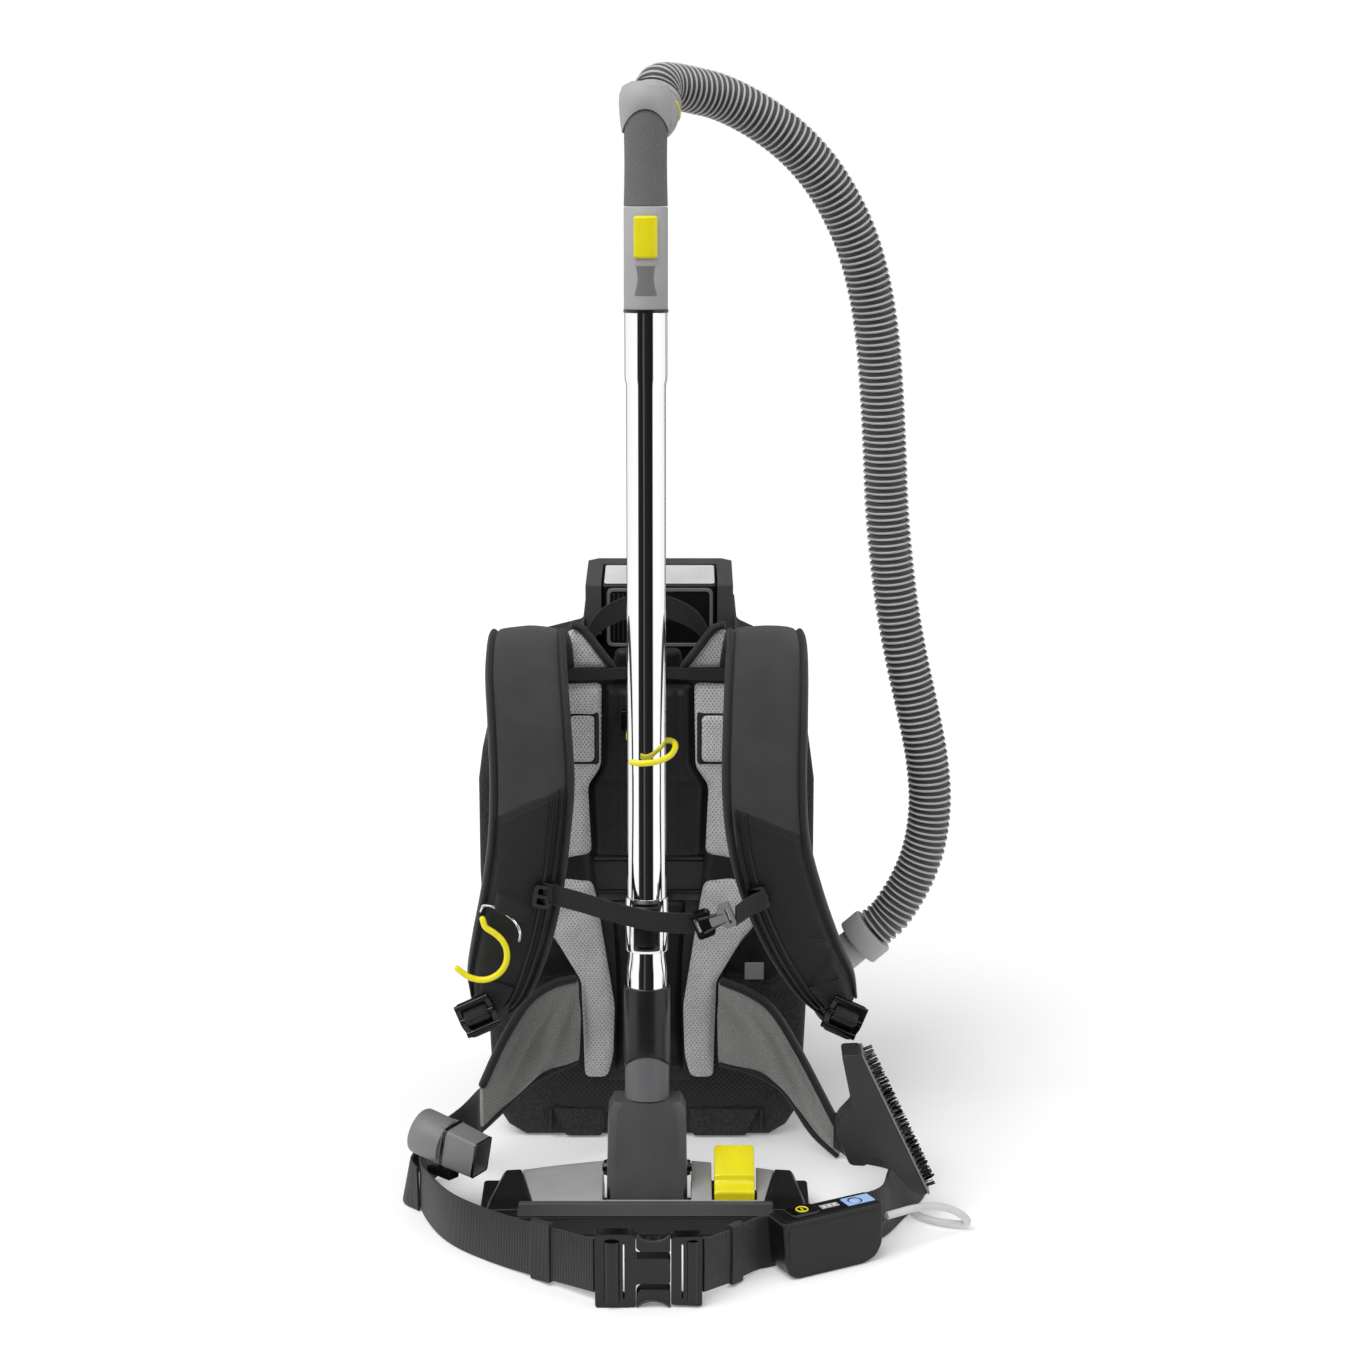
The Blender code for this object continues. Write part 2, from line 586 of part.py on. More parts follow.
def belts():
    """The two halves of the waist belt, standing on edge on the floor."""
    left = [
        upright(-0.0418, -0.4570, 0.009), upright(-0.071, -0.433, 0.006), upright(-0.100, -0.407, 0.002),
        upright(-0.134, -0.380, 0.0006), upright(-0.170, -0.345, 0.0006), upright(-0.192, -0.306, 0.0006),
        upright(-0.206, -0.262, 0.0006, 0.046), upright(-0.206, -0.220, 0.0006, 0.044),
        upright(-0.196, -0.196, 0.003, 0.050), upright(-0.178, -0.186, 0.018, 0.050, (0.004, 0.0)),
        upright(-0.158, -0.192, 0.042, 0.047, (0.002, 0.0)), upright(-0.1525, -0.2035, 0.050, 0.042),
    ]
    right = [
        upright(0.0518, -0.4570, 0.009), upright(0.078, -0.425, 0.004), upright(0.098, -0.396, 0.0006),
        upright(0.112, -0.3885, 0.0006), upright(0.150, -0.3680, 0.0006), upright(0.194, -0.3443, 0.0006),
        upright(0.216, -0.325, 0.0006, 0.048, (-0.002, 0.004)),
        upright(0.236, -0.286, 0.0006, 0.040, (-0.012, 0.022)),
        upright(0.251, -0.255, 0.0006, 0.038, (-0.014, 0.020)),
        upright(0.259, -0.228, 0.0006, 0.038, (-0.014, 0.012)),
        upright(0.250, -0.200, 0.0006, 0.046, (-0.006, 0.000)),
        upright(0.226, -0.172, 0.0006, 0.050), upright(0.200, -0.157, 0.0006, 0.048),
        upright(0.178, -0.1500, 0.012, 0.036),
    ]
    finish(ribbon("belt_left", left, WEBBING), DARK_GREY, 0.9)
    finish(ribbon("belt_right", right, WEBBING), DARK_GREY, 0.9)


def waist_buckle():
    """Side-release buckle: a socket with two side windows, a plug, and a tab in each window."""
    front, rear = BUCKLE_Y
    socket = block("waist_buckle_socket", (-0.041, front, 0.0), (0.0240, rear, 0.068))
    for name, low, high in (("upper", 0.046, 0.08), ("lower", -0.01, 0.022)):
        window = block(f"buckle_window_{name}_cut", (-0.006, front - 0.01, low),
                       (0.03, rear + 0.01, high))
        cut(socket, window)
    finish(bevel(socket, 0.0015, 1), BLACK, 0.25)
    plug = block("waist_buckle_plug", (0.0245, front, 0.003), (0.0510, rear, 0.065))
    finish(bevel(plug, 0.0015, 1), BLACK, 0.25)
    for name, low, high in (("upper", 0.0520, 0.0620), ("lower", 0.0060, 0.0160)):
        tab = block(f"buckle_tab_{name}", (-0.003, front + 0.001, low), (0.0238, rear - 0.001, high))
        finish(tab, BLACK, 0.3)


# --- Control box on the belt ------------------------------------------------------

def box_frame():
    return Matrix.Translation(BOX_CORNER) @ Matrix.Rotation(BOX_YAW, 4, "Z")


def control_box():
    length, depth, height = BOX_SIZE
    outline = [(0.0, height), (length, height), (length, 0.016), (length - 0.006, 0.005),
               (length - 0.018, 0.0), (0.016, 0.0), (0.008, 0.004), (0.004, 0.014)]
    box = plate("control_box", [outline], 0.0, depth)
    power = block("power_well_cut", (0.012, 0.004, height - 0.006),
                  (0.042, depth - 0.004, height + 0.01))
    mode = cylinder("mode_well_cut", (MODE_ALONG, depth / 2, height - 0.006),
                    (MODE_ALONG, depth / 2, height + 0.01), 0.0072)
    for piece in (box, power, mode):
        piece.matrix_world = box_frame() @ piece.matrix_world
    finish(cut(box, power, mode), DARK_GREY, 0.4)
    button = block("power_button", (0.013, 0.005, height - 0.0035),
                   (0.041, depth - 0.005, height + 0.0035))
    button.matrix_world = box_frame()
    finish(bevel(button, 0.001, 1), BLACK, 0.4)
    place = box_frame()
    dome = cylinder("mode_button", place @ Vector((MODE_ALONG, depth / 2, height - 0.0035)),
                    place @ Vector((MODE_ALONG, depth / 2, height + 0.0006)), 0.0064, 16)
    finish(dome, (0.45, 0.62, 0.88), 0.4)
    gland = cylinder("cable_gland", place @ Vector((length + GAP, 0.012, 0.034)),
                     place @ Vector((length + 0.0062, 0.012, 0.034)), 0.0062, 16, 0.0046)
    finish(gland, BLACK, 0.6)


def control_cable():
    finish(rod("control_cable", CABLE_ROUTE, CABLE_RADIUS, 0.010), LIGHT_GREY, 0.5)


# --- Hooks and stowed tools -------------------------------------------------------

def wand_hook():
    """A yellow coated bar from the back pad, behind the tube, round its side and across it."""
    route = [
        (-0.012, -0.1150, 0.424), (-0.013, -0.140, 0.425), (-0.015, -0.175, 0.427),
        (-0.012, -0.200, 0.430), (0.002, -0.2105, 0.432), (0.016, -0.2145, 0.434),
        (0.0255, -0.2265, 0.436), (0.0275, -0.243, 0.435), (0.0225, -0.259, 0.432),
        (0.0105, -0.2670, 0.429), (-0.004, -0.2685, 0.428), (-0.0135, -0.2665, 0.429),
    ]
    finish(rod("wand_hook", route, 0.00275, 0.009), YELLOW, 0.35)


def accessory_hook():
    """An open hook that hangs from an eye on the left shoulder strap."""
    route = [
        (-0.146, 0.284), (-0.143, 0.274), (-0.135, 0.268), (-0.128, 0.261), (-0.124, 0.251),
        (-0.125, 0.239), (-0.132, 0.229), (-0.144, 0.2235), (-0.158, 0.226), (-0.171, 0.236),
    ]
    points = [(x, -0.2640, z) for x, z in route]
    finish(rod("accessory_hook", points, 0.0029, 0.008), YELLOW, 0.35)


def crevice_tool():
    """A short crevice nozzle: a round socket that narrows to a rectangular mouth."""
    start, end = Vector((-0.2050, -0.2650, 0.0785)), Vector((-0.1473, -0.3000, 0.0662))
    place = Matrix.Translation(start) @ (end - start).to_track_quat("Z", "Y").to_matrix().to_4x4()
    length = (end - start).length
    socket = turned("crevice_tool", [(0.0, 0.032), (0.0210, 0.032), (0.0215, 0.0), (0.0, 0.0)])
    snout = block("crevice_snout", (-0.0125, -0.0175, 0.020), (0.0125, 0.0175, length))
    bore = cylinder("crevice_bore_cut", (0, 0, -0.01), (0, 0, 0.028), 0.0165)
    mouth = block("crevice_mouth_cut", (-0.0095, -0.0145, 0.010), (0.0095, 0.0145, length + 0.02))
    for piece in (socket, snout, bore, mouth):
        piece.matrix_world = place @ piece.matrix_world
    finish(cut(join(socket, snout), bore, mouth), MID_GREY, 0.6)


def upholstery_tool():
    """A brush nozzle that hangs on edge: wedge body, bristle edge and a short neck."""
    outline = [
        (0.1765, 0.1660), (0.1945, 0.1668), (0.2570, 0.0310), (0.2440, 0.0320), (0.2170, 0.0640),
        (0.2060, 0.0700), (0.2000, 0.0590), (0.1850, 0.0600), (0.1730, 0.0900), (0.1745, 0.1010),
        (0.1868, 0.1150),
    ]
    body = plate("upholstery_tool", [outline], -0.3040, -0.2720)
    start, end = Vector((0.1945, -0.288, 0.1668)), Vector((0.2570, -0.288, 0.0310))
    along = (end - start).normalized()
    edge = start + Vector((-along.z, 0, along.x)) * -0.002
    mouth = block("upholstery_mouth_cut", (-0.012, -0.010, 0.012), (0.006, 0.010, 0.124))
    place = Matrix.Translation(edge) @ along.to_track_quat("Z", "Y").to_matrix().to_4x4()
    mouth.matrix_world = place
    finish(cut(body, mouth), DARK_GREY, 0.6)


# --- Wand -------------------------------------------------------------------------

def neck_socket():
    profile = [(0.0206, 0.183), (0.0210, 0.178), (0.0210, 0.1127), (0.0195, 0.1100), (0.0140, 0.1100),
               (0.0140, 0.1280), (0.0184, 0.1280), (0.0184, 0.183)]
    finish(turned("neck_socket", profile, closed=True, matrix=on_wand(0.0)), BLACK, 0.5)


def lower_tube():
    inner = INNER_TUBE_RADIUS - TUBE_WALL
    profile = [
        (INNER_TUBE_RADIUS, 0.660), (INNER_TUBE_RADIUS, 0.2000), (0.0180, 0.1930), (0.0180, 0.1290),
        (inner, 0.1290), (inner, 0.660),
    ]
    finish(turned("lower_tube", profile, closed=True, matrix=on_wand(0.0)), (0.8, 0.8, 0.8), 0.1, 1.0)


def upper_tube():
    profile = [
        (0.0188, 0.7880), (0.0188, 0.7330), (TUBE_RADIUS, 0.7240), (TUBE_RADIUS, 0.2435),
        (TUBE_RADIUS - TUBE_WALL, 0.2435), (TUBE_RADIUS - TUBE_WALL, 0.7270), (0.0179, 0.7350),
        (0.0179, 0.7880),
    ]
    finish(turned("upper_tube", profile, closed=True, matrix=on_wand(0.0)), (0.8, 0.8, 0.8), 0.1, 1.0)


def tube_collar():
    profile = [
        (0.0184, 0.2655), (0.0188, 0.2635), (0.0188, 0.2175), (0.0180, 0.2165), (0.0166, 0.2165),
        (0.0166, 0.2429), (0.0177, 0.2429), (0.0177, 0.2655),
    ]
    finish(turned("tube_collar", profile, closed=True, matrix=on_wand(0.0)), (0.7, 0.7, 0.7), 0.2, 1.0)


def tube_button():
    button = block("tube_button", (-0.0100, -0.0252, 0.2235), (0.0100, -0.0192, 0.2645))
    button.matrix_world = on_wand(0.0)
    finish(bevel(button, 0.001, 1), BLACK, 0.5)


def handle_body():
    profile = [(0.0140, 0.7500), (0.0140, 0.8790), (0.0193, 0.8790), (0.0193, 0.7884), (0.0176, 0.7884),
               (0.0176, 0.7500)]
    finish(turned("handle_body", profile, closed=True, matrix=on_wand(0.0)), LIGHT_GREY, 0.5)


def handle_grip():
    profile = [(0.0192, 0.9550), (0.0186, 0.9200), (0.0192, 0.8794), (0.0140, 0.8794), (0.0140, 0.9550)]
    finish(turned("handle_grip", profile, closed=True, matrix=on_wand(0.0)), MID_GREY, 0.8)


def air_slider():
    slider = block("air_slider", (-0.0095, -0.0245, 0.8350), (0.0095, -0.0197, 0.8710))
    slider.matrix_world = on_wand(0.0)
    finish(bevel(slider, 0.001, 1), YELLOW, 0.4)


def handle_elbow():
    """The light collar that takes the grip from below and turns back to the hose."""
    matrix = Matrix.Translation(ELBOW_START) @ ELBOW_AXIS.to_track_quat("Z", "Y").to_matrix().to_4x4()
    profile = [(0.0, ELBOW_LENGTH), (ELBOW_RADIUS, ELBOW_LENGTH), (ELBOW_RADIUS, ELBOW_CONE),
               (0.0212, 0.0), (0.0, 0.0)]
    elbow = turned("handle_elbow", profile, steps=28, matrix=matrix)
    grip = cylinder("elbow_grip_cut", WAND_FOOT + WAND_AXIS * 0.90,
                    WAND_FOOT + WAND_AXIS * 0.9556, 0.0198)
    bore = cylinder("elbow_bore_cut", ELBOW_START + ELBOW_AXIS * 0.010,
                    ELBOW_START + ELBOW_AXIS * 0.05, 0.0165)
    finish(cut(elbow, grip, bore), LIGHT_GREY, 0.5)


def hose_ring():
    """The dark ring that turns on the elbow's end and holds the hose."""
    place = ELBOW_START + ELBOW_AXIS * (ELBOW_LENGTH + GAP)
    matrix = Matrix.Translation(place) @ ELBOW_AXIS.to_track_quat("Z", "Y").to_matrix().to_4x4()
    profile = [(0.0225, 0.0040), (0.0240, 0.0030), (0.0240, 0.0), (0.0160, 0.0), (0.0160, 0.0040)]
    finish(turned("hose_ring", profile, closed=True, matrix=matrix), BLACK, 0.5)


def hose():
    finish(rod("hose", HOSE_ROUTE, HOSE_RADIUS, 0.0135, 3), (0.42, 0.42, 0.42), 0.6)


# --- Floor nozzle -----------------------------------------------------------------

def nozzle_yoke():
    """The fork that the wand ends in: a barrel at the head, narrowing up to the neck."""
    _, y, z = TILT_POINT
    outline = []
    for step in range(13):
        angle = math.radians(178 + step * 186 / 12)
        outline.append((y + BARREL_RADIUS * math.cos(angle), z + BARREL_RADIUS * math.sin(angle)))
    top = WAND_FOOT + WAND_AXIS * 0.0798
    across = Vector((0.0, math.cos(WAND_TILT), -math.sin(WAND_TILT)))
    for corner in (top + across * 0.0185, top - across * 0.0185):
        outline.append((corner.y, corner.z))
    yoke = plate("nozzle_yoke", [outline], HARNESS_X - YOKE_HALF_WIDTH, HARNESS_X + YOKE_HALF_WIDTH, "X")
    for vertex in yoke.data.vertices:
        if vertex.co.y > 0.08:
            vertex.co.z *= 0.90
    finish(yoke, (0.07, 0.07, 0.07), 0.4)


def swivel_neck():
    profile = [(0.0185, 0.1096), (0.0185, 0.0803), (0.0140, 0.0803), (0.0140, 0.1096)]
    finish(turned("swivel_neck", profile, closed=True, matrix=on_wand(0.0)), (0.07, 0.07, 0.07), 0.5)


def head_slot_cut(name):
    """The yoke's slot, open at the rear so that the yoke can lean back."""
    return block(name, (HARNESS_X - 0.0395, -0.318, -0.02), (HARNESS_X + 0.0395, HEAD_Y[1] + 0.01, 0.10))


def nozzle_base():
    """The sole, with raised black ends, a front lip, the yoke's slot and the wheels' pockets."""
    half = HEAD_X[1]
    outline = mirrored([
        (0.1165, 0.0195), (0.1175, 0.0345), (0.134, 0.0335), (half, 0.0130), (half, 0.0)])
    base = plate("nozzle_base", [outline], *HEAD_Y)
    lip = block("nozzle_lip", (-0.1170, HEAD_Y[0] + 0.0002, 0.010), (0.1170, HEAD_Y[0] + 0.0075, 0.0343))
    join(base, lip)
    cut(base, head_slot_cut("nozzle_base_slot_cut"))
    _, y, z = WHEEL_POINT
    cut(base, block("axle_channel_cut", (-0.125, y - 0.0030, -0.01), (0.125, y + 0.0030, z + 0.0035)))
    for side in (-1, 1):
        pocket = block(f"wheel_pocket_{side}_cut", (side * 0.105 - 0.008, y - 0.0110, -0.01),
                       (side * 0.105 + 0.008, y + 0.0110, 0.0186))
        cut(base, pocket)
    mouth = block("nozzle_mouth_cut", (-0.130, -0.3265, -0.01), (0.130, -0.3195, 0.0120))
    finish(cut(base, mouth), BLACK, 0.6)


def nozzle_cover():
    outline = mirrored([(0.060, 0.0440), (0.1158, 0.0335), (0.1152, 0.0199)])
    cover = plate("nozzle_cover", [outline], HEAD_Y[0] + 0.0080, HEAD_Y[1] - 0.0020)
    pedal = block("pedal_slot_cut", (0.0600, -0.3180, -0.01), (0.1020, -0.2570, 0.10))
    finish(cut(cover, head_slot_cut("nozzle_cover_slot_cut"), pedal), LIGHT_GREY, 0.5)


def nozzle_pedal():
    outline = [(-0.2620, 0.0640), (-0.2960, 0.0490), (-0.3120, 0.0370), (-0.3120, 0.0250),
               (-0.3000, 0.0215), (-0.2760, 0.0215), (-0.2620, 0.0500)]
    finish(plate("nozzle_pedal", [outline], 0.0625, 0.0995, across="X"), YELLOW, 0.4)


def nozzle_wheels():
    """Two rear wheels on one axle, turned as one piece."""
    x, y, z = 0.105, *WHEEL_POINT[1:]
    axle, rim, half = 0.0015, WHEEL_RADIUS, 0.0060
    profile = [
        (0.0, x + half), (rim, x + half), (rim, x - half), (axle, x - half),
        (axle, half - x), (rim, half - x), (rim, -x - half), (0.0, -x - half),
    ]
    matrix = Matrix.Translation((0, y, z)) @ Matrix.Rotation(math.pi / 2, 4, "Y")
    finish(turned("nozzle_wheels", profile, steps=20, matrix=matrix), DARK_GREY, 0.7)


# --- Assembly ---------------------------------------------------------------------

BUILDERS = [
    casing_shell, lid_hinge_pin, filter_lid, lid_latch, battery_hood, battery_pack, battery_latch,
    motor_housing, fan_impeller, filter_bag, exhaust_filter, hose_port, hose_collar, frame_plate,
    centre_pad, back_pads, shoulder_straps, strap_adjusters, carry_handle, chest_strap, hip_fins,
    belts, waist_buckle, control_box, control_cable, wand_hook, accessory_hook, crevice_tool,
    upholstery_tool, neck_socket, lower_tube, upper_tube, tube_collar, tube_button, handle_body,
    handle_grip, air_slider, handle_elbow, hose_ring, hose, nozzle_yoke, swivel_neck, nozzle_base,
    nozzle_cover, nozzle_pedal, nozzle_wheels,
]

# The empties on the joints' axes, and the pieces that move with each.
PIVOTS = {
    "lid_hinge_axis": (LID_HINGE, ["filter_lid", "lid_latch"]),
    "battery_axis": ((BATTERY_X, 0.024, BATTERY_TOP), ["battery_pack"]),
    "fan_axis": ((0.0, 0.0, 0.10), ["fan_impeller"]),
    "wand_slide_axis": (tuple(WAND_FOOT + WAND_AXIS * 0.24), [
        "upper_tube", "tube_collar", "tube_button", "handle_body", "handle_grip", "air_slider",
        "handle_elbow", "hose_ring"]),
    "nozzle_tilt_axis": (TILT_POINT, ["nozzle_base", "nozzle_cover"]),
    "wheel_axis": (WHEEL_POINT, ["nozzle_wheels"]),
    "pedal_axis": ((0.081, -0.288, 0.026), ["nozzle_pedal"]),
    "accessory_hook_axis": ((-0.138, -0.264, 0.271), ["accessory_hook"]),
}


def add_pivots():
    bpy.context.view_layer.update()
    for name, (place, pieces) in PIVOTS.items():
        pivot = bpy.data.objects.new(name, None)
        pivot.location = place
        pivot.empty_display_size = 0.03
        PARTS.objects.link(pivot)
        for piece in pieces:
            obj = bpy.data.objects[piece]
            obj.parent = pivot
            obj.matrix_parent_inverse = Matrix.Translation(place).inverted()


clear_scene()
PARTS = new_collection(OBJECT_NAME)
CUTTERS = new_collection("cutters")
for build in BUILDERS:
    build()
add_pivots()
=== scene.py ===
"""Looks of a backpack vacuum cleaner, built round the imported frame.

Metres, +Z up. The side that lies against the wearer's back faces -Y.
"""
import math
import random

import bmesh
import bpy
from mathutils import Matrix, Vector, geometry, noise


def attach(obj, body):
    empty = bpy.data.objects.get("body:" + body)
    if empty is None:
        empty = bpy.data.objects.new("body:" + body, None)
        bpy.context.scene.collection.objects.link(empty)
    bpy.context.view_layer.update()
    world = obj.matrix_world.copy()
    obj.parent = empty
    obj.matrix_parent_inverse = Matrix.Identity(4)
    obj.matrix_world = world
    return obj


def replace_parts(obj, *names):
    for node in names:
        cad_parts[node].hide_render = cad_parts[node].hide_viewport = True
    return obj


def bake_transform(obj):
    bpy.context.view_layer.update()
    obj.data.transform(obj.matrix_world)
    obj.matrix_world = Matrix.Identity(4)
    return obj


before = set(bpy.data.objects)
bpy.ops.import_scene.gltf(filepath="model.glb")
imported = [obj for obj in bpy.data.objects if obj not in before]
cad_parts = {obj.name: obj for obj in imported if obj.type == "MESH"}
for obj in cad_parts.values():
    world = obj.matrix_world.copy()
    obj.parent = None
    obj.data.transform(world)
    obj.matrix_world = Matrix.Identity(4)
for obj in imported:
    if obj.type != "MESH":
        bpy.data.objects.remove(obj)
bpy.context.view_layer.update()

RANDOM = random.Random(7)

# The frame's own measures, repeated from the CAD source
HARNESS_X = 0.002
WAND_FOOT = Vector((0.002, -0.285, 0.035))
WAND_TILT = math.radians(7.0)
WAND_AXIS = Vector((0.0, math.sin(WAND_TILT), math.cos(WAND_TILT)))
ELBOW_START = Vector((0.0045, -0.1692, 0.9779))
ELBOW_AXIS = Vector((0.14, 0.8, 0.5)).normalized()
PORT_AXIS = Vector((0.75, 0.0, 0.66)).normalized()
PORT_POINT = Vector((0.158, 0.0, 0.1225))
TILT_POINT = Vector((0.002, -0.288, 0.03))
BOX_PLACE = Matrix.Translation((0.122, -0.422, 0.0)) @ Matrix.Rotation(math.radians(28.3), 4, "Z")
BATTERY_X = 0.012

# Points closer than this are one point, and no turned shape is thinner than this
MERGE = 0.00002
HOSE_ROUTE = [(0.0101, -0.137, 0.998), (0.0121, -0.1257, 1.005), (0.0178, -0.1148, 1.0068),
              (0.0305, -0.1025, 1.0045), (0.045, -0.0905, 1.0005), (0.0645, -0.0765, 0.9945),
              (0.0875, -0.064, 0.9835), (0.112, -0.053, 0.968), (0.137, -0.043, 0.9475),
              (0.1605, -0.034, 0.921), (0.1805, -0.026, 0.889), (0.1965, -0.019, 0.853),
              (0.2085, -0.013, 0.81), (0.2165, -0.0085, 0.762), (0.2215, -0.0045, 0.708),
              (0.225, -0.0015, 0.655), (0.228, 0.0, 0.602), (0.2335, 0.0, 0.548), (0.241, 0.0, 0.496),
              (0.251, 0.0, 0.446), (0.262, 0.0, 0.398), (0.271, 0.0, 0.352), (0.2745, 0.0, 0.308),
              (0.27, 0.0, 0.266), (0.258, 0.0, 0.23), (0.2405, 0.0, 0.1985), (0.2328, 0.0, 0.1893),
              (0.223, 0.0, 0.1805)]
CABLE_ROUTE = [(0.2157, -0.3548, 0.034), (0.226, -0.3488, 0.0343), (0.24, -0.3395, 0.034),
               (0.254, -0.33, 0.032), (0.267, -0.3225, 0.028), (0.279, -0.317, 0.022),
               (0.288, -0.314, 0.015), (0.2915, -0.312, 0.009), (0.288, -0.3095, 0.0055),
               (0.28, -0.3065, 0.0045), (0.27, -0.303, 0.0042), (0.261, -0.2985, 0.0042),
               (0.253, -0.2925, 0.0042), (0.247, -0.286, 0.0045), (0.244, -0.28, 0.005)]


# --- Materials --------------------------------------------------------------------

def linear(code):
    """A hex colour as linear light."""
    parts = [int(code[i:i + 2], 16) / 255 for i in (1, 3, 5)]
    return tuple(((c + 0.055) / 1.055) ** 2.4 if c > 0.04045 else c / 12.92 for c in parts)


class Surface:
    """A Principled material, built up in layers of colour, gloss and relief."""

    def __init__(self, name, colour, roughness=0.5, metallic=0.0, **sockets):
        self.material = bpy.data.materials.new(name)
        self.material.use_nodes = True
        self.tree = self.material.node_tree
        self.shader = self.tree.nodes["Principled BSDF"]
        self.slot = None
        self.colour = None
        self.base = (*linear(colour), 1.0)
        self.normal = None
        self.shader.inputs["Base Color"].default_value = self.base
        self.shader.inputs["Roughness"].default_value = roughness
        self.shader.inputs["Metallic"].default_value = metallic
        for key, value in sockets.items():
            self.shader.inputs[key.replace("_", " ")].default_value = value

    def node(self, kind, **settings):
        made = self.tree.nodes.new(kind)
        for key, value in settings.items():
            setattr(made, key, value)
        return made

    def feed(self, socket, value):
        if isinstance(value, bpy.types.NodeSocket):
            self.tree.links.new(value, socket)
        else:
            socket.default_value = value

    def place(self, source="Object", scale=(1, 1, 1)):
        """Coordinates in metres: the object's own, or the weave's across and along."""
        mapping = self.node("ShaderNodeMapping")
        mapping.inputs["Scale"].default_value = scale
        self.feed(mapping.inputs["Vector"], self.node("ShaderNodeTexCoord").outputs[source])
        return mapping.outputs[0]

    def math(self, operation, a, b=0.0):
        made = self.node("ShaderNodeMath", operation=operation)
        self.feed(made.inputs[0], a)
        self.feed(made.inputs[1], b)
        return made.outputs[0]

    def parts(self, vector):
        split = self.node("ShaderNodeSeparateXYZ")
        self.feed(split.inputs[0], vector)
        return split.outputs

    def noise(self, scale, detail=2.0, stretch=(1, 1, 1)):
        made = self.node("ShaderNodeTexNoise")
        made.inputs["Scale"].default_value = scale
        made.inputs["Detail"].default_value = detail
        self.feed(made.inputs["Vector"], self.place("Object", stretch))
        return made.outputs[0]

    def cells(self, scale):
        made = self.node("ShaderNodeTexVoronoi")
        made.inputs["Scale"].default_value = scale
        self.feed(made.inputs["Vector"], self.place())
        return made.outputs["Distance"]

    def wave(self, coordinate, pitch):
        """A sine of one coordinate, from -1 to 1, that repeats every pitch metres."""
        return self.math("SINE", self.math("MULTIPLY", coordinate, 2 * math.pi / pitch))

    def remap(self, value, low, high, new_low=0.0, new_high=1.0):
        made = self.node("ShaderNodeMapRange")
        for socket, number in zip(list(made.inputs)[1:5], (low, high, new_low, new_high)):
            socket.default_value = number
        self.feed(made.inputs[0], value)
        return made.outputs[0]

    def mix(self, kind, factor, colour):
        made = self.node("ShaderNodeMix", data_type="RGBA", blend_type=kind)
        self.feed(made.inputs[0], factor)
        self.feed(made.inputs[6], self.colour or self.base)
        self.feed(made.inputs[7], colour)
        self.colour = made.outputs[2]
        self.feed(self.shader.inputs["Base Color"], self.colour)
        return self

    def shade(self, factor, dark, light):
        """Multiplies the colour by a grey that runs from dark to light with the factor."""
        return self.mix("MULTIPLY", 1.0, self.remap(factor, 0.0, 1.0, dark, light))

    def mottle(self, scale, detail, dark, light):
        """Uneven shade in soft patches."""
        return self.shade(self.remap(self.noise(scale, detail), 0.3, 0.7), dark, light)

    def gloss(self, factor, low, high):
        self.feed(self.shader.inputs["Roughness"], self.remap(factor, 0.25, 0.75, low, high))
        return self

    def relief(self, height, distance, strength=1.0):
        made = self.node("ShaderNodeBump")
        made.inputs["Strength"].default_value = strength
        made.inputs["Distance"].default_value = distance
        self.feed(made.inputs["Height"], height)
        if self.normal:
            self.feed(made.inputs["Normal"], self.normal)
        self.normal = made.outputs[0]
        self.feed(self.shader.inputs["Normal"], self.normal)
        return self


def foam():
    """Moulded expanded foam: fused beads with fine speckle."""
    made = Surface("foam_shell", "#353536", 0.85, Specular_IOR_Level=0.3)
    beads = made.cells(360)
    speckle = made.noise(900, 2)
    made.shade(made.remap(beads, 0.0, 0.9), 1.22, 0.62)
    made.shade(made.remap(speckle, 0.35, 0.65), 0.72, 1.32)
    made.mottle(14, 2, 0.88, 1.1)
    made.relief(made.math("SUBTRACT", 1.0, beads), 0.0006, 0.9)
    return made.relief(speckle, 0.0003, 0.6)


def moulded(name, colour, roughness=0.42, grain=0.25, **sockets):
    """Spark-eroded moulded plastic with a fine grain and slight rubbing."""
    made = Surface(name, colour, roughness, Specular_IOR_Level=0.36, **sockets)
    rub = made.noise(22, 4)
    made.shade(made.remap(rub, 0.3, 0.7), 0.92, 1.08)
    made.gloss(made.noise(45, 3), roughness - 0.07, roughness + 0.09)
    return made.relief(made.noise(1900, 2), 0.0001, grain)


def polished(name, colour):
    """Glossy moulded plastic with faint handling marks."""
    made = Surface(name, colour, 0.12, Specular_IOR_Level=0.38, Coat_Weight=0.12, Coat_Roughness=0.08)
    made.mottle(30, 3, 0.9, 1.1)
    made.gloss(made.noise(60, 5), 0.12, 0.28)
    return made.relief(made.noise(700, 2), 0.00006, 0.2)


def chrome():
    made = Surface("chrome_tube", "#e8e8e8", 0.04, 1.0)
    made.gloss(made.noise(9, 4, stretch=(1, 1, 0.15)), 0.03, 0.09)
    return made.relief(made.noise(5, 2, stretch=(1, 1, 0.3)), 0.0004, 0.05)


def steel():
    made = Surface("steel_wire", "#d8d8d8", 0.2, 1.0)
    made.gloss(made.noise(40, 3), 0.14, 0.3)
    return made


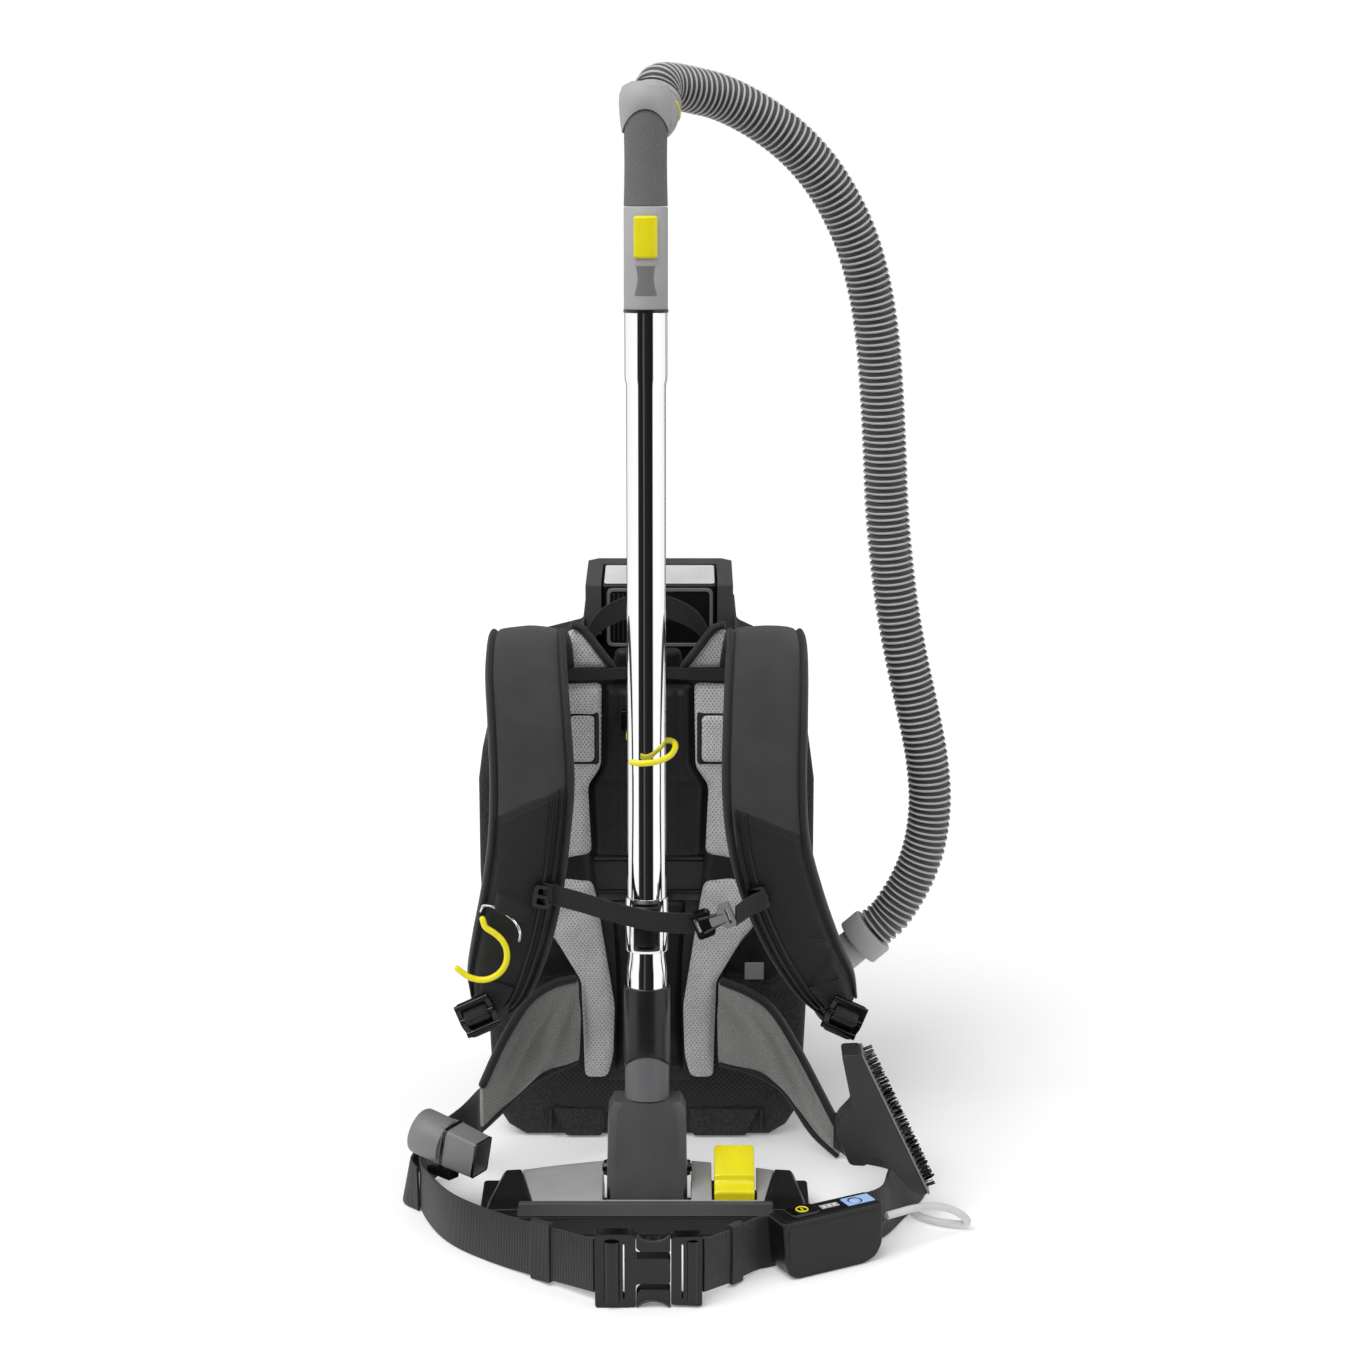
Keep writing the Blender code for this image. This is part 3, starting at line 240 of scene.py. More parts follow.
def mesh_fabric(name, colour, pitch, rows, hole="#1c1c1c", depth=0.0009):
    """Spacer mesh: staggered oval holes in a knitted face."""
    made = Surface(name, colour, 0.9, Specular_IOR_Level=0.25, Sheen_Weight=0.25)
    x, _, z = made.parts(made.place())
    dots = made.math("MULTIPLY", made.wave(x, pitch), made.wave(z, rows))
    holes = made.remap(dots, 0.22, 0.78)
    made.mottle(16, 3, 0.9, 1.1)
    made.mottle(420, 2, 0.88, 1.1)
    made.mix("MIX", made.math("MULTIPLY", holes, 0.52), (*linear(hole), 1.0))
    made.relief(made.math("SUBTRACT", 1.0, holes), depth, 0.8)
    return made.relief(made.noise(1400, 2), 0.0002, 0.4)


def woven(name, colour, pitch=0.0011, roughness=0.75, sheen=0.35):
    """Plain-woven nylon, with its threads across and along the piece."""
    made = Surface(name, colour, roughness, Specular_IOR_Level=0.35, Sheen_Weight=sheen)
    u, v, _ = made.parts(made.place("UV"))
    threads = made.math("MULTIPLY", made.wave(u, pitch), made.wave(v, pitch))
    made.shade(made.remap(threads, -1.0, 1.0), 0.8, 1.18)
    made.mottle(26, 4, 0.84, 1.14)
    made.relief(threads, 0.00025, 0.5)
    return made.relief(made.noise(60, 3), 0.0012, 0.25)


def ribbed(name, colour, pitch=0.0017):
    """Webbing: raised ribs across the band, with edges that catch the light."""
    made = Surface(name, colour, 0.62, Specular_IOR_Level=0.35, Sheen_Weight=0.12)
    u, v, _ = made.parts(made.place("UV"))
    ribs = made.wave(v, pitch)
    twill = made.wave(made.math("ADD", u, made.math("MULTIPLY", v, 0.7)), 0.0024)
    made.shade(made.remap(ribs, -1.0, 1.0), 0.84, 1.12)
    made.shade(made.remap(twill, -1.0, 1.0), 0.9, 1.08)
    made.mottle(18, 4, 0.86, 1.12)
    made.relief(ribs, 0.0003, 0.7)
    return made.relief(twill, 0.0002, 0.35)


def dotted(name, colour, pitch, roughness=0.6):
    """Rubber or plastic with a fine raised dot pattern."""
    made = Surface(name, colour, roughness)
    x, _, z = made.parts(made.place())
    dots = made.math("MULTIPLY", made.wave(x, pitch), made.wave(z, pitch))
    made.shade(made.remap(dots, -1.0, 1.0), 0.84, 1.14)
    made.mottle(30, 3, 0.93, 1.07)
    return made.relief(dots, 0.0004, 0.6)


def fleece():
    made = Surface("filter_fleece", "#cfcdc6", 0.95, Sheen_Weight=0.4)
    made.mottle(30, 5, 0.85, 1.08)
    return made.relief(made.noise(900, 3), 0.0005, 0.8)


EPP = foam()
DARK = moulded("dark_plastic", "#2f2f30", 0.38)
SATIN = moulded("satin_black", "#111112", 0.34)
HOOD = moulded("hood_plastic", "#484849", 0.42)
COVER = moulded("cover_plastic", "#a2a2a2", 0.34, Coat_Weight=0.12, Coat_Roughness=0.3)
LIP = moulded("lip_plastic", "#4a4a4b", 0.4)
YOKE = moulded("yoke_plastic", "#4e4e4f", 0.36)
NECK = moulded("neck_plastic", "#68686a", 0.4)
SOCKET = moulded("socket_plastic", "#19191a", 0.3)
GLOSS = polished("black_plastic", "#080809")
LIGHT = moulded("grey_plastic", "#b2b2b2", 0.42)
MID = moulded("mid_plastic", "#7a7a7b", 0.42)
GRIP = dotted("grip_rubber", "#6b6b6c", 0.0021)
YELLOW = moulded("yellow_plastic", "#f2e514", 0.26, 0.12, Coat_Weight=0.3, Coat_Roughness=0.12)
CHROME = chrome()
STEEL = steel()
MESH = mesh_fabric("spacer_mesh", "#d4d4d4", 0.0036, 0.005)
FIN = mesh_fabric("fin_mesh", "#9a9a98", 0.0027, 0.0038, "#2c2c2c", 0.0006)
FABRIC = woven("strap_fabric", "#373738", sheen=0.15)
NYLON = woven("black_nylon", "#111112", 0.0013, 0.5, 0.06)
BINDING = woven("edge_binding", "#19191a", 0.0012, 0.5, 0.1)
WEBBING = ribbed("webbing", "#121213")
BELTING = ribbed("belt_webbing", "#1c1c1d", 0.0019)
THREAD = Surface("stitch_thread", "#333334", 0.6)
# Hose plastic, and a darker copy of it that is painted shade in the valleys between the ribs
HOSE = moulded("hose_crest", "#b4b4b4", 0.36, 0.1, Coat_Weight=0.2, Coat_Roughness=0.2)
HOSE_VALLEY_SHADE = moulded("hose_valley_painted_shade", "#525253", 0.5, 0.1)
SHEATH = moulded("cable_sheath", "#cfcfcf", 0.45, 0.1)
BLUE = moulded("panel_blue", "#a9c9f2", 0.3, 0.05)
NAVY = moulded("panel_navy", "#20335c", 0.35, 0.05)
INK = moulded("panel_ink", "#e9e9e6", 0.4, 0.05)
LABEL = moulded("label_film", "#e3e3e2", 0.32, 0.05)
GRILLE = dotted("black_grille", "#171717", 0.0052, 0.5)
FLEECE = fleece()

# The part slot name kept on each surface, or named by a piece instead; no piece is put in a slot
for slot_name, slot_surfaces in {
    "black_plastic": (GLOSS, SATIN, SOCKET, GRILLE), "dark_plastic": (DARK, LIP, NECK, YOKE),
    "grey_plastic": (LIGHT, COVER), "mid_plastic": (MID, LABEL), "black_fabric": (FABRIC, NYLON, BINDING),
    "webbing": (WEBBING, BELTING), "panel_blue": (BLUE, NAVY, INK), "yellow_plastic": (YELLOW,),
    "chrome_tube": (CHROME,), "foam_shell": (EPP,), "fin_mesh": (FIN,), "spacer_mesh": (MESH,),
    "filter_fleece": (FLEECE,), "grip_rubber": (GRIP,), "cable_sheath": (SHEATH,), "steel_pin": (STEEL,),
    "hose_plastic": (HOSE,),
}.items():
    for slot_surface in slot_surfaces:
        slot_surface.slot = slot_name


# --- Shape helpers ----------------------------------------------------------------

def spline(rows, t):
    """The Catmull-Rom value at t, from 0 to 1, of rows of equal length numbers."""
    last = len(rows) - 1
    place = min(max(t, 0.0), 1.0) * last
    i = min(int(place), last - 1)
    f = place - i
    p1, p2 = rows[i], rows[i + 1]
    p0 = rows[i - 1] if i else [2 * a - b for a, b in zip(p1, p2)]
    p3 = rows[i + 2] if i + 2 <= last else [2 * b - a for a, b in zip(p1, p2)]
    return [0.5 * (2 * b + (c - a) * f + (2 * a - 5 * b + 4 * c - d) * f * f + (3 * b - a - 3 * c + d)
                   * f ** 3) for a, b, c, d in zip(p0, p1, p2, p3)]


def route(points, spacing):
    """Points at an even spacing along the smooth curve through the given ones."""
    fine = [Vector(spline(points, i / 600)) for i in range(601)]
    walked = [0.0]
    for a, b in zip(fine, fine[1:]):
        walked.append(walked[-1] + (b - a).length)
    count = max(2, round(walked[-1] / spacing))
    even, k = [], 0
    for i in range(count + 1):
        target = walked[-1] * i / count
        while k < len(walked) - 2 and walked[k + 1] < target:
            k += 1
        share = (target - walked[k]) / max(walked[k + 1] - walked[k], 1e-9)
        even.append(fine[k].lerp(fine[k + 1], share))
    return even


def made(name, mesh, surfaces, body="root", angle=38.0, slot=None):
    """Links a mesh as a piece that rides on a body."""
    obj = bpy.data.objects.new(name, mesh)
    bpy.context.scene.collection.objects.link(obj)
    surfaces = surfaces if isinstance(surfaces, (list, tuple)) else [surfaces]
    for surface in surfaces:
        mesh.materials.append(surface.material)
    mesh.shade_smooth()
    mesh.set_sharp_from_angle(angle=math.radians(angle))
    slot = slot or surfaces[0].slot
    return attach(obj, body)


def from_bmesh(name, bm, surfaces, body="root", angle=38.0, slot=None):
    bmesh.ops.recalc_face_normals(bm, faces=bm.faces)
    mesh = bpy.data.meshes.new(name)
    bm.to_mesh(mesh)
    bm.free()
    return made(name, mesh, surfaces, body, angle, slot)


def ring_mesh(rings, pick=None, ends="cap"):
    """A bmesh skin over rings of points, with the weave's metres as its UVs."""
    bm = bmesh.new()
    weave = bm.loops.layers.uv.new("weave")
    rows = [[bm.verts.new(p) for p in ring] for ring in rings]
    along = [0.0]
    for first, second in zip(rings, rings[1:]):
        step = sum((Vector(a) - Vector(b)).length for a, b in zip(first, second)) / len(first)
        along.append(along[-1] + step)
    middle = rings[len(rings) // 2]
    around = [0.0]
    for a, b in zip(middle, middle[1:] + middle[:1]):
        around.append(around[-1] + (Vector(b) - Vector(a)).length)
    spans = list(zip(range(len(rings) - 1), range(1, len(rings))))
    if ends == "loop":
        spans.append((len(rings) - 1, 0))
    for i, k in spans:
        for j in range(len(middle)):
            n = (j + 1) % len(middle)
            face = bm.faces.new((rows[i][j], rows[i][n], rows[k][n], rows[k][j]))
            corners = ((j, i), (j + 1, i), (j + 1, i + 1), (j, i + 1))
            for loop, (a, b) in zip(face.loops, corners):
                loop[weave].uv = (around[a], along[min(b, len(along) - 1)])
            if pick:
                face.material_index = pick(i, j)
    if ends == "cap":
        bm.faces.new(list(reversed(rows[0])))
        bm.faces.new(rows[-1])
    return bm


def lathe(name, profile, matrix, surface, body="root", sides=64, angle=32.0, loop=True, warp=None):
    """A profile of (radius, height) turned round the matrix's Z. A loop closes on itself.

    warp(front, height) gives a new height, where front is 1 towards -Y and -1 towards +Y.
    """
    rings = []
    turn = [2 * math.pi * i / sides for i in range(sides)]
    for radius, height in profile:
        radius = max(radius, MERGE)
        rings.append([matrix @ Vector((radius * math.cos(a), radius * math.sin(a),
                                       warp(-math.sin(a), height) if warp else height)) for a in turn])
    bm = ring_mesh(rings, ends="loop" if loop else "cap")
    return from_bmesh(name, bm, surface, body, angle)


def tube(name, points, radius, surface, body="root", spacing=0.003, sides=16, taper=True, slot=None):
    """A round bar with rounded ends along a smooth route."""
    line = route(points, spacing)
    frames = carried_frames(line)
    rings, count = [], len(line)
    ends = (0.05, 0.5, 0.8, 0.95) if taper else ()
    for i, (point, (side, up)) in enumerate(zip(line, frames)):
        tip = min(i, count - 1 - i)
        size = radius * (ends[tip] if tip < len(ends) else 1.0)
        rings.append([point + side * size * math.cos(a) + up * size * math.sin(a)
                      for a in (2 * math.pi * k / sides for k in range(sides))])
    if taper:
        line_ends = rounded_ends(line, radius, len(ends))
        for i, point in line_ends.items():
            shift = point - line[i]
            rings[i] = [p + shift for p in rings[i]]
    return from_bmesh(name, ring_mesh(rings), surface, body, 60.0, slot=slot)


def rounded_ends(line, radius, count):
    """Moves the last rings together so that the end is a dome one radius long."""
    heights = (0.0, 0.14, 0.4, 0.69)
    moved = {}
    for order in (range(len(line)), range(len(line) - 1, -1, -1)):
        order = list(order)
        tip = line[order[0]]
        inward = (line[order[count]] - tip).normalized()
        for k in range(count):
            moved[order[k]] = tip + inward * radius * heights[k]
    return moved


def carried_frames(line):
    """A side and an up vector at each point, carried along without twist."""
    frames = []
    side = None
    for i in range(len(line)):
        ahead = line[min(i + 1, len(line) - 1)] - line[max(i - 1, 0)]
        ahead.normalize()
        if side is None:
            side = ahead.orthogonal().normalized()
        side = (side - ahead * side.dot(ahead)).normalized()
        frames.append((side, ahead.cross(side)))
    return frames


def box_line(x0, z0, x1, z1):
    """A rectangle from one corner to the opposite one."""
    return [(x0, z0), (x1, z0), (x1, z1), (x0, z1)]


def circle(x, z, radius, count, tall=None):
    """Points round a circle, or round an ellipse of its own half height."""
    turn = [2 * math.pi * k / count for k in range(count)]
    return [(x + radius * math.cos(a), z + (tall or radius) * math.sin(a)) for a in turn]


def rounded(outline, radius, steps=4):
    """The outline with each corner turned into an arc."""
    points = []
    count = len(outline)
    for i, corner in enumerate(outline):
        corner = Vector(corner)
        before, after = Vector(outline[i - 1]) - corner, Vector(outline[(i + 1) % count]) - corner
        size = min(radius, before.length * 0.45, after.length * 0.45)
        start, end = corner + before.normalized() * size, corner + after.normalized() * size
        for k in range(steps + 1):
            t = k / steps
            points.append(tuple((1 - t) ** 2 * start + 2 * t * (1 - t) * corner + t * t * end))
    return points


def flat_mesh(outlines, low, high, across, matrix=None):
    """Filled outlines with their holes, extruded along an axis, as a mesh."""
    data = bpy.data.curves.new("guide", "CURVE")
    data.dimensions = "2D"
    data.fill_mode = "BOTH"
    data.extrude = (high - low) / 2
    for outline in outlines:
        spline_2d = data.splines.new("POLY")
        spline_2d.points.add(len(outline) - 1)
        for point, (u, v) in zip(spline_2d.points, outline):
            point.co = (u, v, 0.0, 1.0)
        spline_2d.use_cyclic_u = True
    guide = bpy.data.objects.new("guide", data)
    bpy.context.scene.collection.objects.link(guide)
    bpy.context.view_layer.update()
    graph = bpy.context.evaluated_depsgraph_get()
    mesh = bpy.data.meshes.new_from_object(guide.evaluated_get(graph))
    bpy.data.objects.remove(guide, do_unlink=True)
    middle = (high + low) / 2
    place = {"Y": Matrix.Translation((0, middle, 0)) @ Matrix.Rotation(math.pi / 2, 4, "X"),
             "X": Matrix(((0, 0, 1, middle), (1, 0, 0, 0), (0, 1, 0, 0), (0, 0, 0, 1))),
             "Z": Matrix.Translation((0, 0, middle))}[across]
    mesh.transform((matrix or Matrix.Identity(4)) @ place)
    bm = bmesh.new()
    bm.from_mesh(mesh)
    bmesh.ops.remove_doubles(bm, verts=bm.verts, dist=MERGE)
    bmesh.ops.dissolve_limit(bm, angle_limit=0.01, verts=bm.verts, edges=bm.edges)
    bmesh.ops.recalc_face_normals(bm, faces=bm.faces)
    bm.to_mesh(mesh)
    bm.free()
    return mesh


def slab(name, outlines, low, high, surface, across="Y", body="root", bevel=0.0008, segments=2,
         slot=None, matrix=None):
    """A flat moulded part with softened edges. Its first outline may have holes after it."""
    if not isinstance(outlines[0][0], (tuple, list, Vector)):
        outlines = [outlines]
    mesh = flat_mesh(outlines, low, high, across, matrix)
    obj = made(name, mesh, surface, body, 180.0, slot)
    return soften(obj, bevel, segments)


def soften(obj, width, segments=2, angle=35.0):
    """Rounds the sharp edges and keeps the flats flat."""
    if width:
        edge = obj.modifiers.new("edges", "BEVEL")
        edge.width = width
        edge.segments = segments
        edge.limit_method = "ANGLE"
        edge.angle_limit = math.radians(angle)
    flat = obj.modifiers.new("flats", "WEIGHTED_NORMAL")
    flat.keep_sharp = True
    return obj


def dress(node, surface, bevel):
    """A CAD node that keeps its shape: a finished material and softened edges."""
    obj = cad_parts[node]
    obj.data.materials.clear()
    obj.data.materials.append(surface.material)
    obj.data.shade_smooth()
    weld = obj.modifiers.new("weld", "WELD")
    weld.merge_threshold = MERGE
    flat = obj.modifiers.new("planes", "DECIMATE")
    flat.decimate_type = "DISSOLVE"
    flat.angle_limit = math.radians(1.0)
    soften(obj, bevel)


def on_wand():
    return Matrix.Translation(WAND_FOOT) @ Matrix.Rotation(-WAND_TILT, 4, "X")


def turned_to(point, axis):
    return Matrix.Translation(point) @ Vector(axis).to_track_quat("Z", "Y").to_matrix().to_4x4()


def joined(name, parts, surface, body="root", angle=38.0, slot=None):
    """Several bmeshes as one piece."""
    mesh = bpy.data.meshes.new(name)
    whole = bmesh.new()
    for part in parts:
        part.to_mesh(mesh)
        whole.from_mesh(mesh)
        part.free()
    return from_bmesh(name, whole, surface, body, angle, slot=slot)


def box_bmesh(low, high):
    bm = bmesh.new()
    bmesh.ops.create_cube(bm, size=1.0)
    bmesh.ops.scale(bm, vec=Vector(high) - Vector(low), verts=bm.verts)
    bmesh.ops.translate(bm, vec=(Vector(high) + Vector(low)) / 2, verts=bm.verts)
    return bm


def rod_bmesh(start, end, radius, sides=12, tip=None):
    start, end = Vector(start), Vector(end)
    bm = bmesh.new()
    bmesh.ops.create_cone(bm, cap_ends=True, segments=sides, radius1=radius,
                          radius2=radius if tip is None else tip, depth=(end - start).length)
    bmesh.ops.transform(bm, matrix=turned_to((start + end) / 2, end - start), verts=bm.verts)
    return bm


# --- Padded and woven bands -------------------------------------------------------

STRAP_FRONT = [(-1.0, 0.0), (-0.985, 0.003), (-0.95, 0.0052), (-0.905, 0.0062), (-0.86, 0.0056),
               (-0.82, 0.0042), (-0.795, 0.0026), (-0.775, 0.0042), (-0.73, 0.0058), (-0.6, 0.007),
               (-0.4, 0.0078), (-0.2, 0.0082), (0.0, 0.0084)]
STRAP_PROFILE = STRAP_FRONT + [(-u, h) for u, h in reversed(STRAP_FRONT[:-1])]
STRAP_BACK = [(0.97, -0.0042), (0.88, -0.0062), (0.6, -0.0066), (0.2, -0.0066), (-0.2, -0.0066),
              (-0.6, -0.0066), (-0.88, -0.0062), (-0.97, -0.0042)]


class Band:
    """A band whose two edges follow smooth rows, with a point(u, t, lift) on its front."""

    def __init__(self, rows, profile=((-1.0, 0.0), (1.0, 0.0)), flip=False):
        self.rows = [list(a) + list(b) for a, b in rows]
        self.profile = profile
        self.flip = flip

    def edges(self, t):
        values = spline(self.rows, t)
        return Vector(values[:3]), Vector(values[3:])

    def height(self, u):
        for (u0, h0), (u1, h1) in zip(self.profile, self.profile[1:]):
            if u <= u1:
                return h0 + (h1 - h0) * max(0.0, (u - u0) / (u1 - u0))
        return self.profile[-1][1]

    def normal(self, t):
        a, b = self.edges(t)
        a0, b0 = self.edges(max(t - 0.004, 0.0))
        a1, b1 = self.edges(min(t + 0.004, 1.0))
        ahead = ((a1 + b1) - (a0 + b0)).normalized()
        out = ahead.cross((b - a).normalized()).normalized()
        return -out if self.flip else out

    def place(self, u, t, lift):
        """A point at a plain height above the band's middle surface."""
        a, b = self.edges(t)
        return a.lerp(b, (u + 1) / 2) + self.normal(t) * lift

    def point(self, u, t, lift=0.0):
        """A point at a height above the band's padded front."""
        return self.place(u, t, self.height(u) + lift)


def band_piece(name, band, back, count, surfaces, pick=None, crumple=0.0):
    """The band's whole closed skin, with an optional crumple of its padded front."""
    rings = []
    for i in range(count + 1):
        t = i / count
        ring = []
        for u, _ in band.profile:
            lift = 0.0
            if crumple:
                spot = band.place(u, t, 0.0)
                lift = crumple * noise.noise(spot * 34) * (1 - abs(u)) ** 0.5
            ring.append(band.point(u, t, lift))
        ring += [band.place(u, t, h) for u, h in back]
        rings.append(ring)
    return from_bmesh(name, ring_mesh(rings, pick), surfaces, angle=50.0)


def patch(name, band, across, low, high, lift, surface, columns=10, rows=24, lip=0.12):
    """A panel sewn onto a band's front, between two lines across it given as t of u."""
    rings = []
    for i in range(rows + 1):
        v = i / rows
        front, back = [], []
        for j in range(columns + 1):
            share = j / columns
            u = across[0] + (across[1] - across[0]) * share
            t = low(u) + (high(u) - low(u)) * v
            edge = min(share, 1 - share, v * 2, (1 - v) * 2)
            rise = lift * min(1.0, 0.25 + edge / lip)
            front.append(band.point(u, t, rise))
            back.append(band.point(u, t, -0.0008))
        rings.append(front + list(reversed(back)))
    return from_bmesh(name, ring_mesh(rings), surface, angle=60.0)


def webbing(name, rows, thickness, surface, count=80, flip=False, wavy=0.0):
    """A flat woven band along rows of (lower edge, upper edge) points, with soft edges."""
    half = thickness / 2
    band = Band(rows, [(-1.0, half * 0.4), (-0.96, half), (-0.5, half), (0.0, half), (0.5, half),
                       (0.96, half), (1.0, half * 0.4)], flip)
    back = [(1.0, -half * 0.4), (0.96, -half), (0.0, -half), (-0.96, -half), (-1.0, -half * 0.4)]
    rings = []
    for i in range(count + 1):
        t = i / count
        ripple = wavy * noise.noise(band.place(0.0, t, 0.0) * 22)
        ring = [band.place(u, t, h + ripple * (1 - 0.5 * u * u)) for u, h in band.profile]
        ring += [band.place(u, t, h + ripple * (1 - 0.5 * u * u)) for u, h in back]
        rings.append(ring)
    return from_bmesh(name, ring_mesh(rings), surface, angle=60.0)


def line_on(band, u, t0, t1, lift, count=60):
    """Points along a band's front at one place across it."""
    return [band.point(u, t0 + (t1 - t0) * i / count, lift) for i in range(count + 1)]


def stitches(name, points):
    """A row of short raised threads along a line."""
    line = route(points, 0.0042)
    parts = [rod_bmesh(a.lerp(b, 0.15), a.lerp(b, 0.78), 0.00032, 6) for a, b in zip(line, line[1:])]
    return joined(name, parts, THREAD)


# --- Straps -----------------------------------------------------------------------

STRAPS = {"left": [(-0.134, -0.066, -0.112, 0.476, 0.0), (-0.139, -0.068, -0.119, 0.499, 0.0),
                   (-0.142, -0.071, -0.141, 0.513, 0.0), (-0.143, -0.071, -0.175, 0.514, 0.004),
                   (-0.143, -0.069, -0.209, 0.494, 0.002), (-0.14, -0.065, -0.236, 0.455, 0.0),
                   (-0.138, -0.062, -0.251, 0.405, 0.0), (-0.14, -0.066, -0.256, 0.355, 0.0),
                   (-0.147, -0.073, -0.254, 0.305, -0.002), (-0.156, -0.085, -0.246, 0.255, -0.006),
                   (-0.162, -0.102, -0.232, 0.212, -0.01), (-0.16, -0.122, -0.221, 0.186, -0.01)],
          "right": [(0.136, 0.068, -0.112, 0.476, 0.0), (0.142, 0.071, -0.119, 0.499, 0.0),
                    (0.145, 0.073, -0.141, 0.513, 0.0), (0.147, 0.074, -0.175, 0.514, 0.004),
                    (0.147, 0.072, -0.209, 0.494, 0.002), (0.146, 0.07, -0.236, 0.455, 0.0),
                    (0.145, 0.069, -0.251, 0.405, 0.0), (0.148, 0.073, -0.256, 0.355, 0.0),
                    (0.16, 0.085, -0.254, 0.305, -0.002), (0.175, 0.107, -0.246, 0.255, -0.006),
                    (0.19, 0.134, -0.232, 0.212, -0.01), (0.194, 0.16, -0.221, 0.184, -0.01)]}


def strap_band(side):
    rows = [((outer, y, z - slope), (inner, y, z + slope)) for outer, inner, y, z, slope in STRAPS[side]]
    return Band(rows, STRAP_PROFILE, flip=side == "right")


def shoulder_strap(side):
    """A padded strap: charcoal face, bound edges, and a black lower half with two rails."""
    band = strap_band(side)
    painted_highlight = [j for j, (u, _) in enumerate(STRAP_PROFILE) if abs(u) >= 0.795]

    def pick(_, j):
        last = len(STRAP_PROFILE) - 1
        if j >= last:
            return 2
        return 1 if j in painted_highlight and j + 1 in painted_highlight else 0

    strap = band_piece(f"strap_{side}", band, STRAP_BACK, 150, [FABRIC, BINDING, NYLON],
                       pick, crumple=0.0016)
    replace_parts(strap, f"shoulder_strap_{side}")
    seam = (lambda u: 0.574 - 0.032 * u) if side == "left" else (lambda u: 0.606 - 0.03 * u)
    patch(f"strap_{side}_lower_panel", band, (-0.775, 0.775), seam, lambda u: 0.985, 0.0011, NYLON,
          24, 50, lip=0.05)
    for k, u in enumerate((0.5, 0.7)):
        tube(f"strap_{side}_rail_{k}", line_on(band, u, seam(u) + 0.002, 0.97, 0.0018), 0.0017, SATIN,
             slot="black_fabric", sides=12)
    for k, u in enumerate((-0.795, 0.795)):
        tube(f"strap_{side}_piping_{k}", line_on(band, u, 0.01, 0.985, 0.0002, 120), 0.0008, BINDING,
             spacing=0.004, sides=8)
    stitches(f"strap_{side}_seam_thread", [band.point(u, seam(u) + 0.012, 0.0012)
                                           for u in (-0.74, -0.5, -0.2, 0.1, 0.4, 0.7)])
    rows = []
    for i in range(9):
        t = 0.9 + 0.098 * i / 8
        rows.append((band.place(-0.52, t, 0.0104), band.place(0.42, t, 0.0104)))
    webbing(f"strap_{side}_tail_webbing", rows, 0.0022, WEBBING, count=20, flip=side == "right")
    return band


def strap_fittings(bands):
    """Chest-strap sliders on the rails, the steel ring on the left and a sewn tab on the right."""
    for side, u, t in (("left", 0.5, 0.725), ("right", 0.55, 0.728)):
        band = bands[side]
        spots = [band.point(u, t + s, 0.0052) for s in (-0.018, 0.018)]
        along = (spots[1] - spots[0]).normalized()
        out = band.normal(t)
        across = along.cross(out)
        place = Matrix.Translation((spots[0] + spots[1]) / 2) @ Matrix(
            [[across[i], out[i], -along[i], 0] for i in range(3)] + [[0, 0, 0, 1]])
        frame_line = rounded(box_line(-0.008, -0.011, 0.008, 0.011), 0.004)
        window = rounded(box_line(-0.0042, -0.0078, 0.0042, 0.0078), 0.002)
        slab(f"chest_slider_{side}", [frame_line, window], -0.003, 0.0028, GLOSS, matrix=place,
             bevel=0.0009)
        slab(f"chest_slider_{side}_bar", rounded(box_line(-0.0088, -0.0022, 0.0088, 0.0022), 0.001),
             -0.0018, 0.0026, GLOSS, matrix=place)
    left = bands["left"]
    patch("ring_tab_webbing", left, (-0.62, 0.36), lambda u: 0.735 + 0.02 * u, lambda u: 0.772 + 0.02 * u,
          0.0034, WEBBING, 10, 8)
    ring = [(-0.147, -0.26, 0.2865), (-0.1445, -0.264, 0.2935), (-0.136, -0.26, 0.2915),
            (-0.12, -0.261, 0.2815), (-0.113, -0.2655, 0.2735), (-0.1115, -0.264, 0.264),
            (-0.113, -0.2625, 0.259)]
    tube("accessory_ring", ring, 0.0014, STEEL, spacing=0.002)
    right = bands["right"]
    patch("sewn_tab_right", right, (-0.7, -0.12), lambda u: 0.8 - 0.02 * u, lambda u: 0.822 - 0.02 * u,
          0.0024, WEBBING, 8, 6)
    patch("strap_right_flap", right, (-0.66, 0.3), lambda u: 0.868 + 0.045 * (u + 0.2), lambda u: 0.975,
          0.003, NYLON, 10, 14)


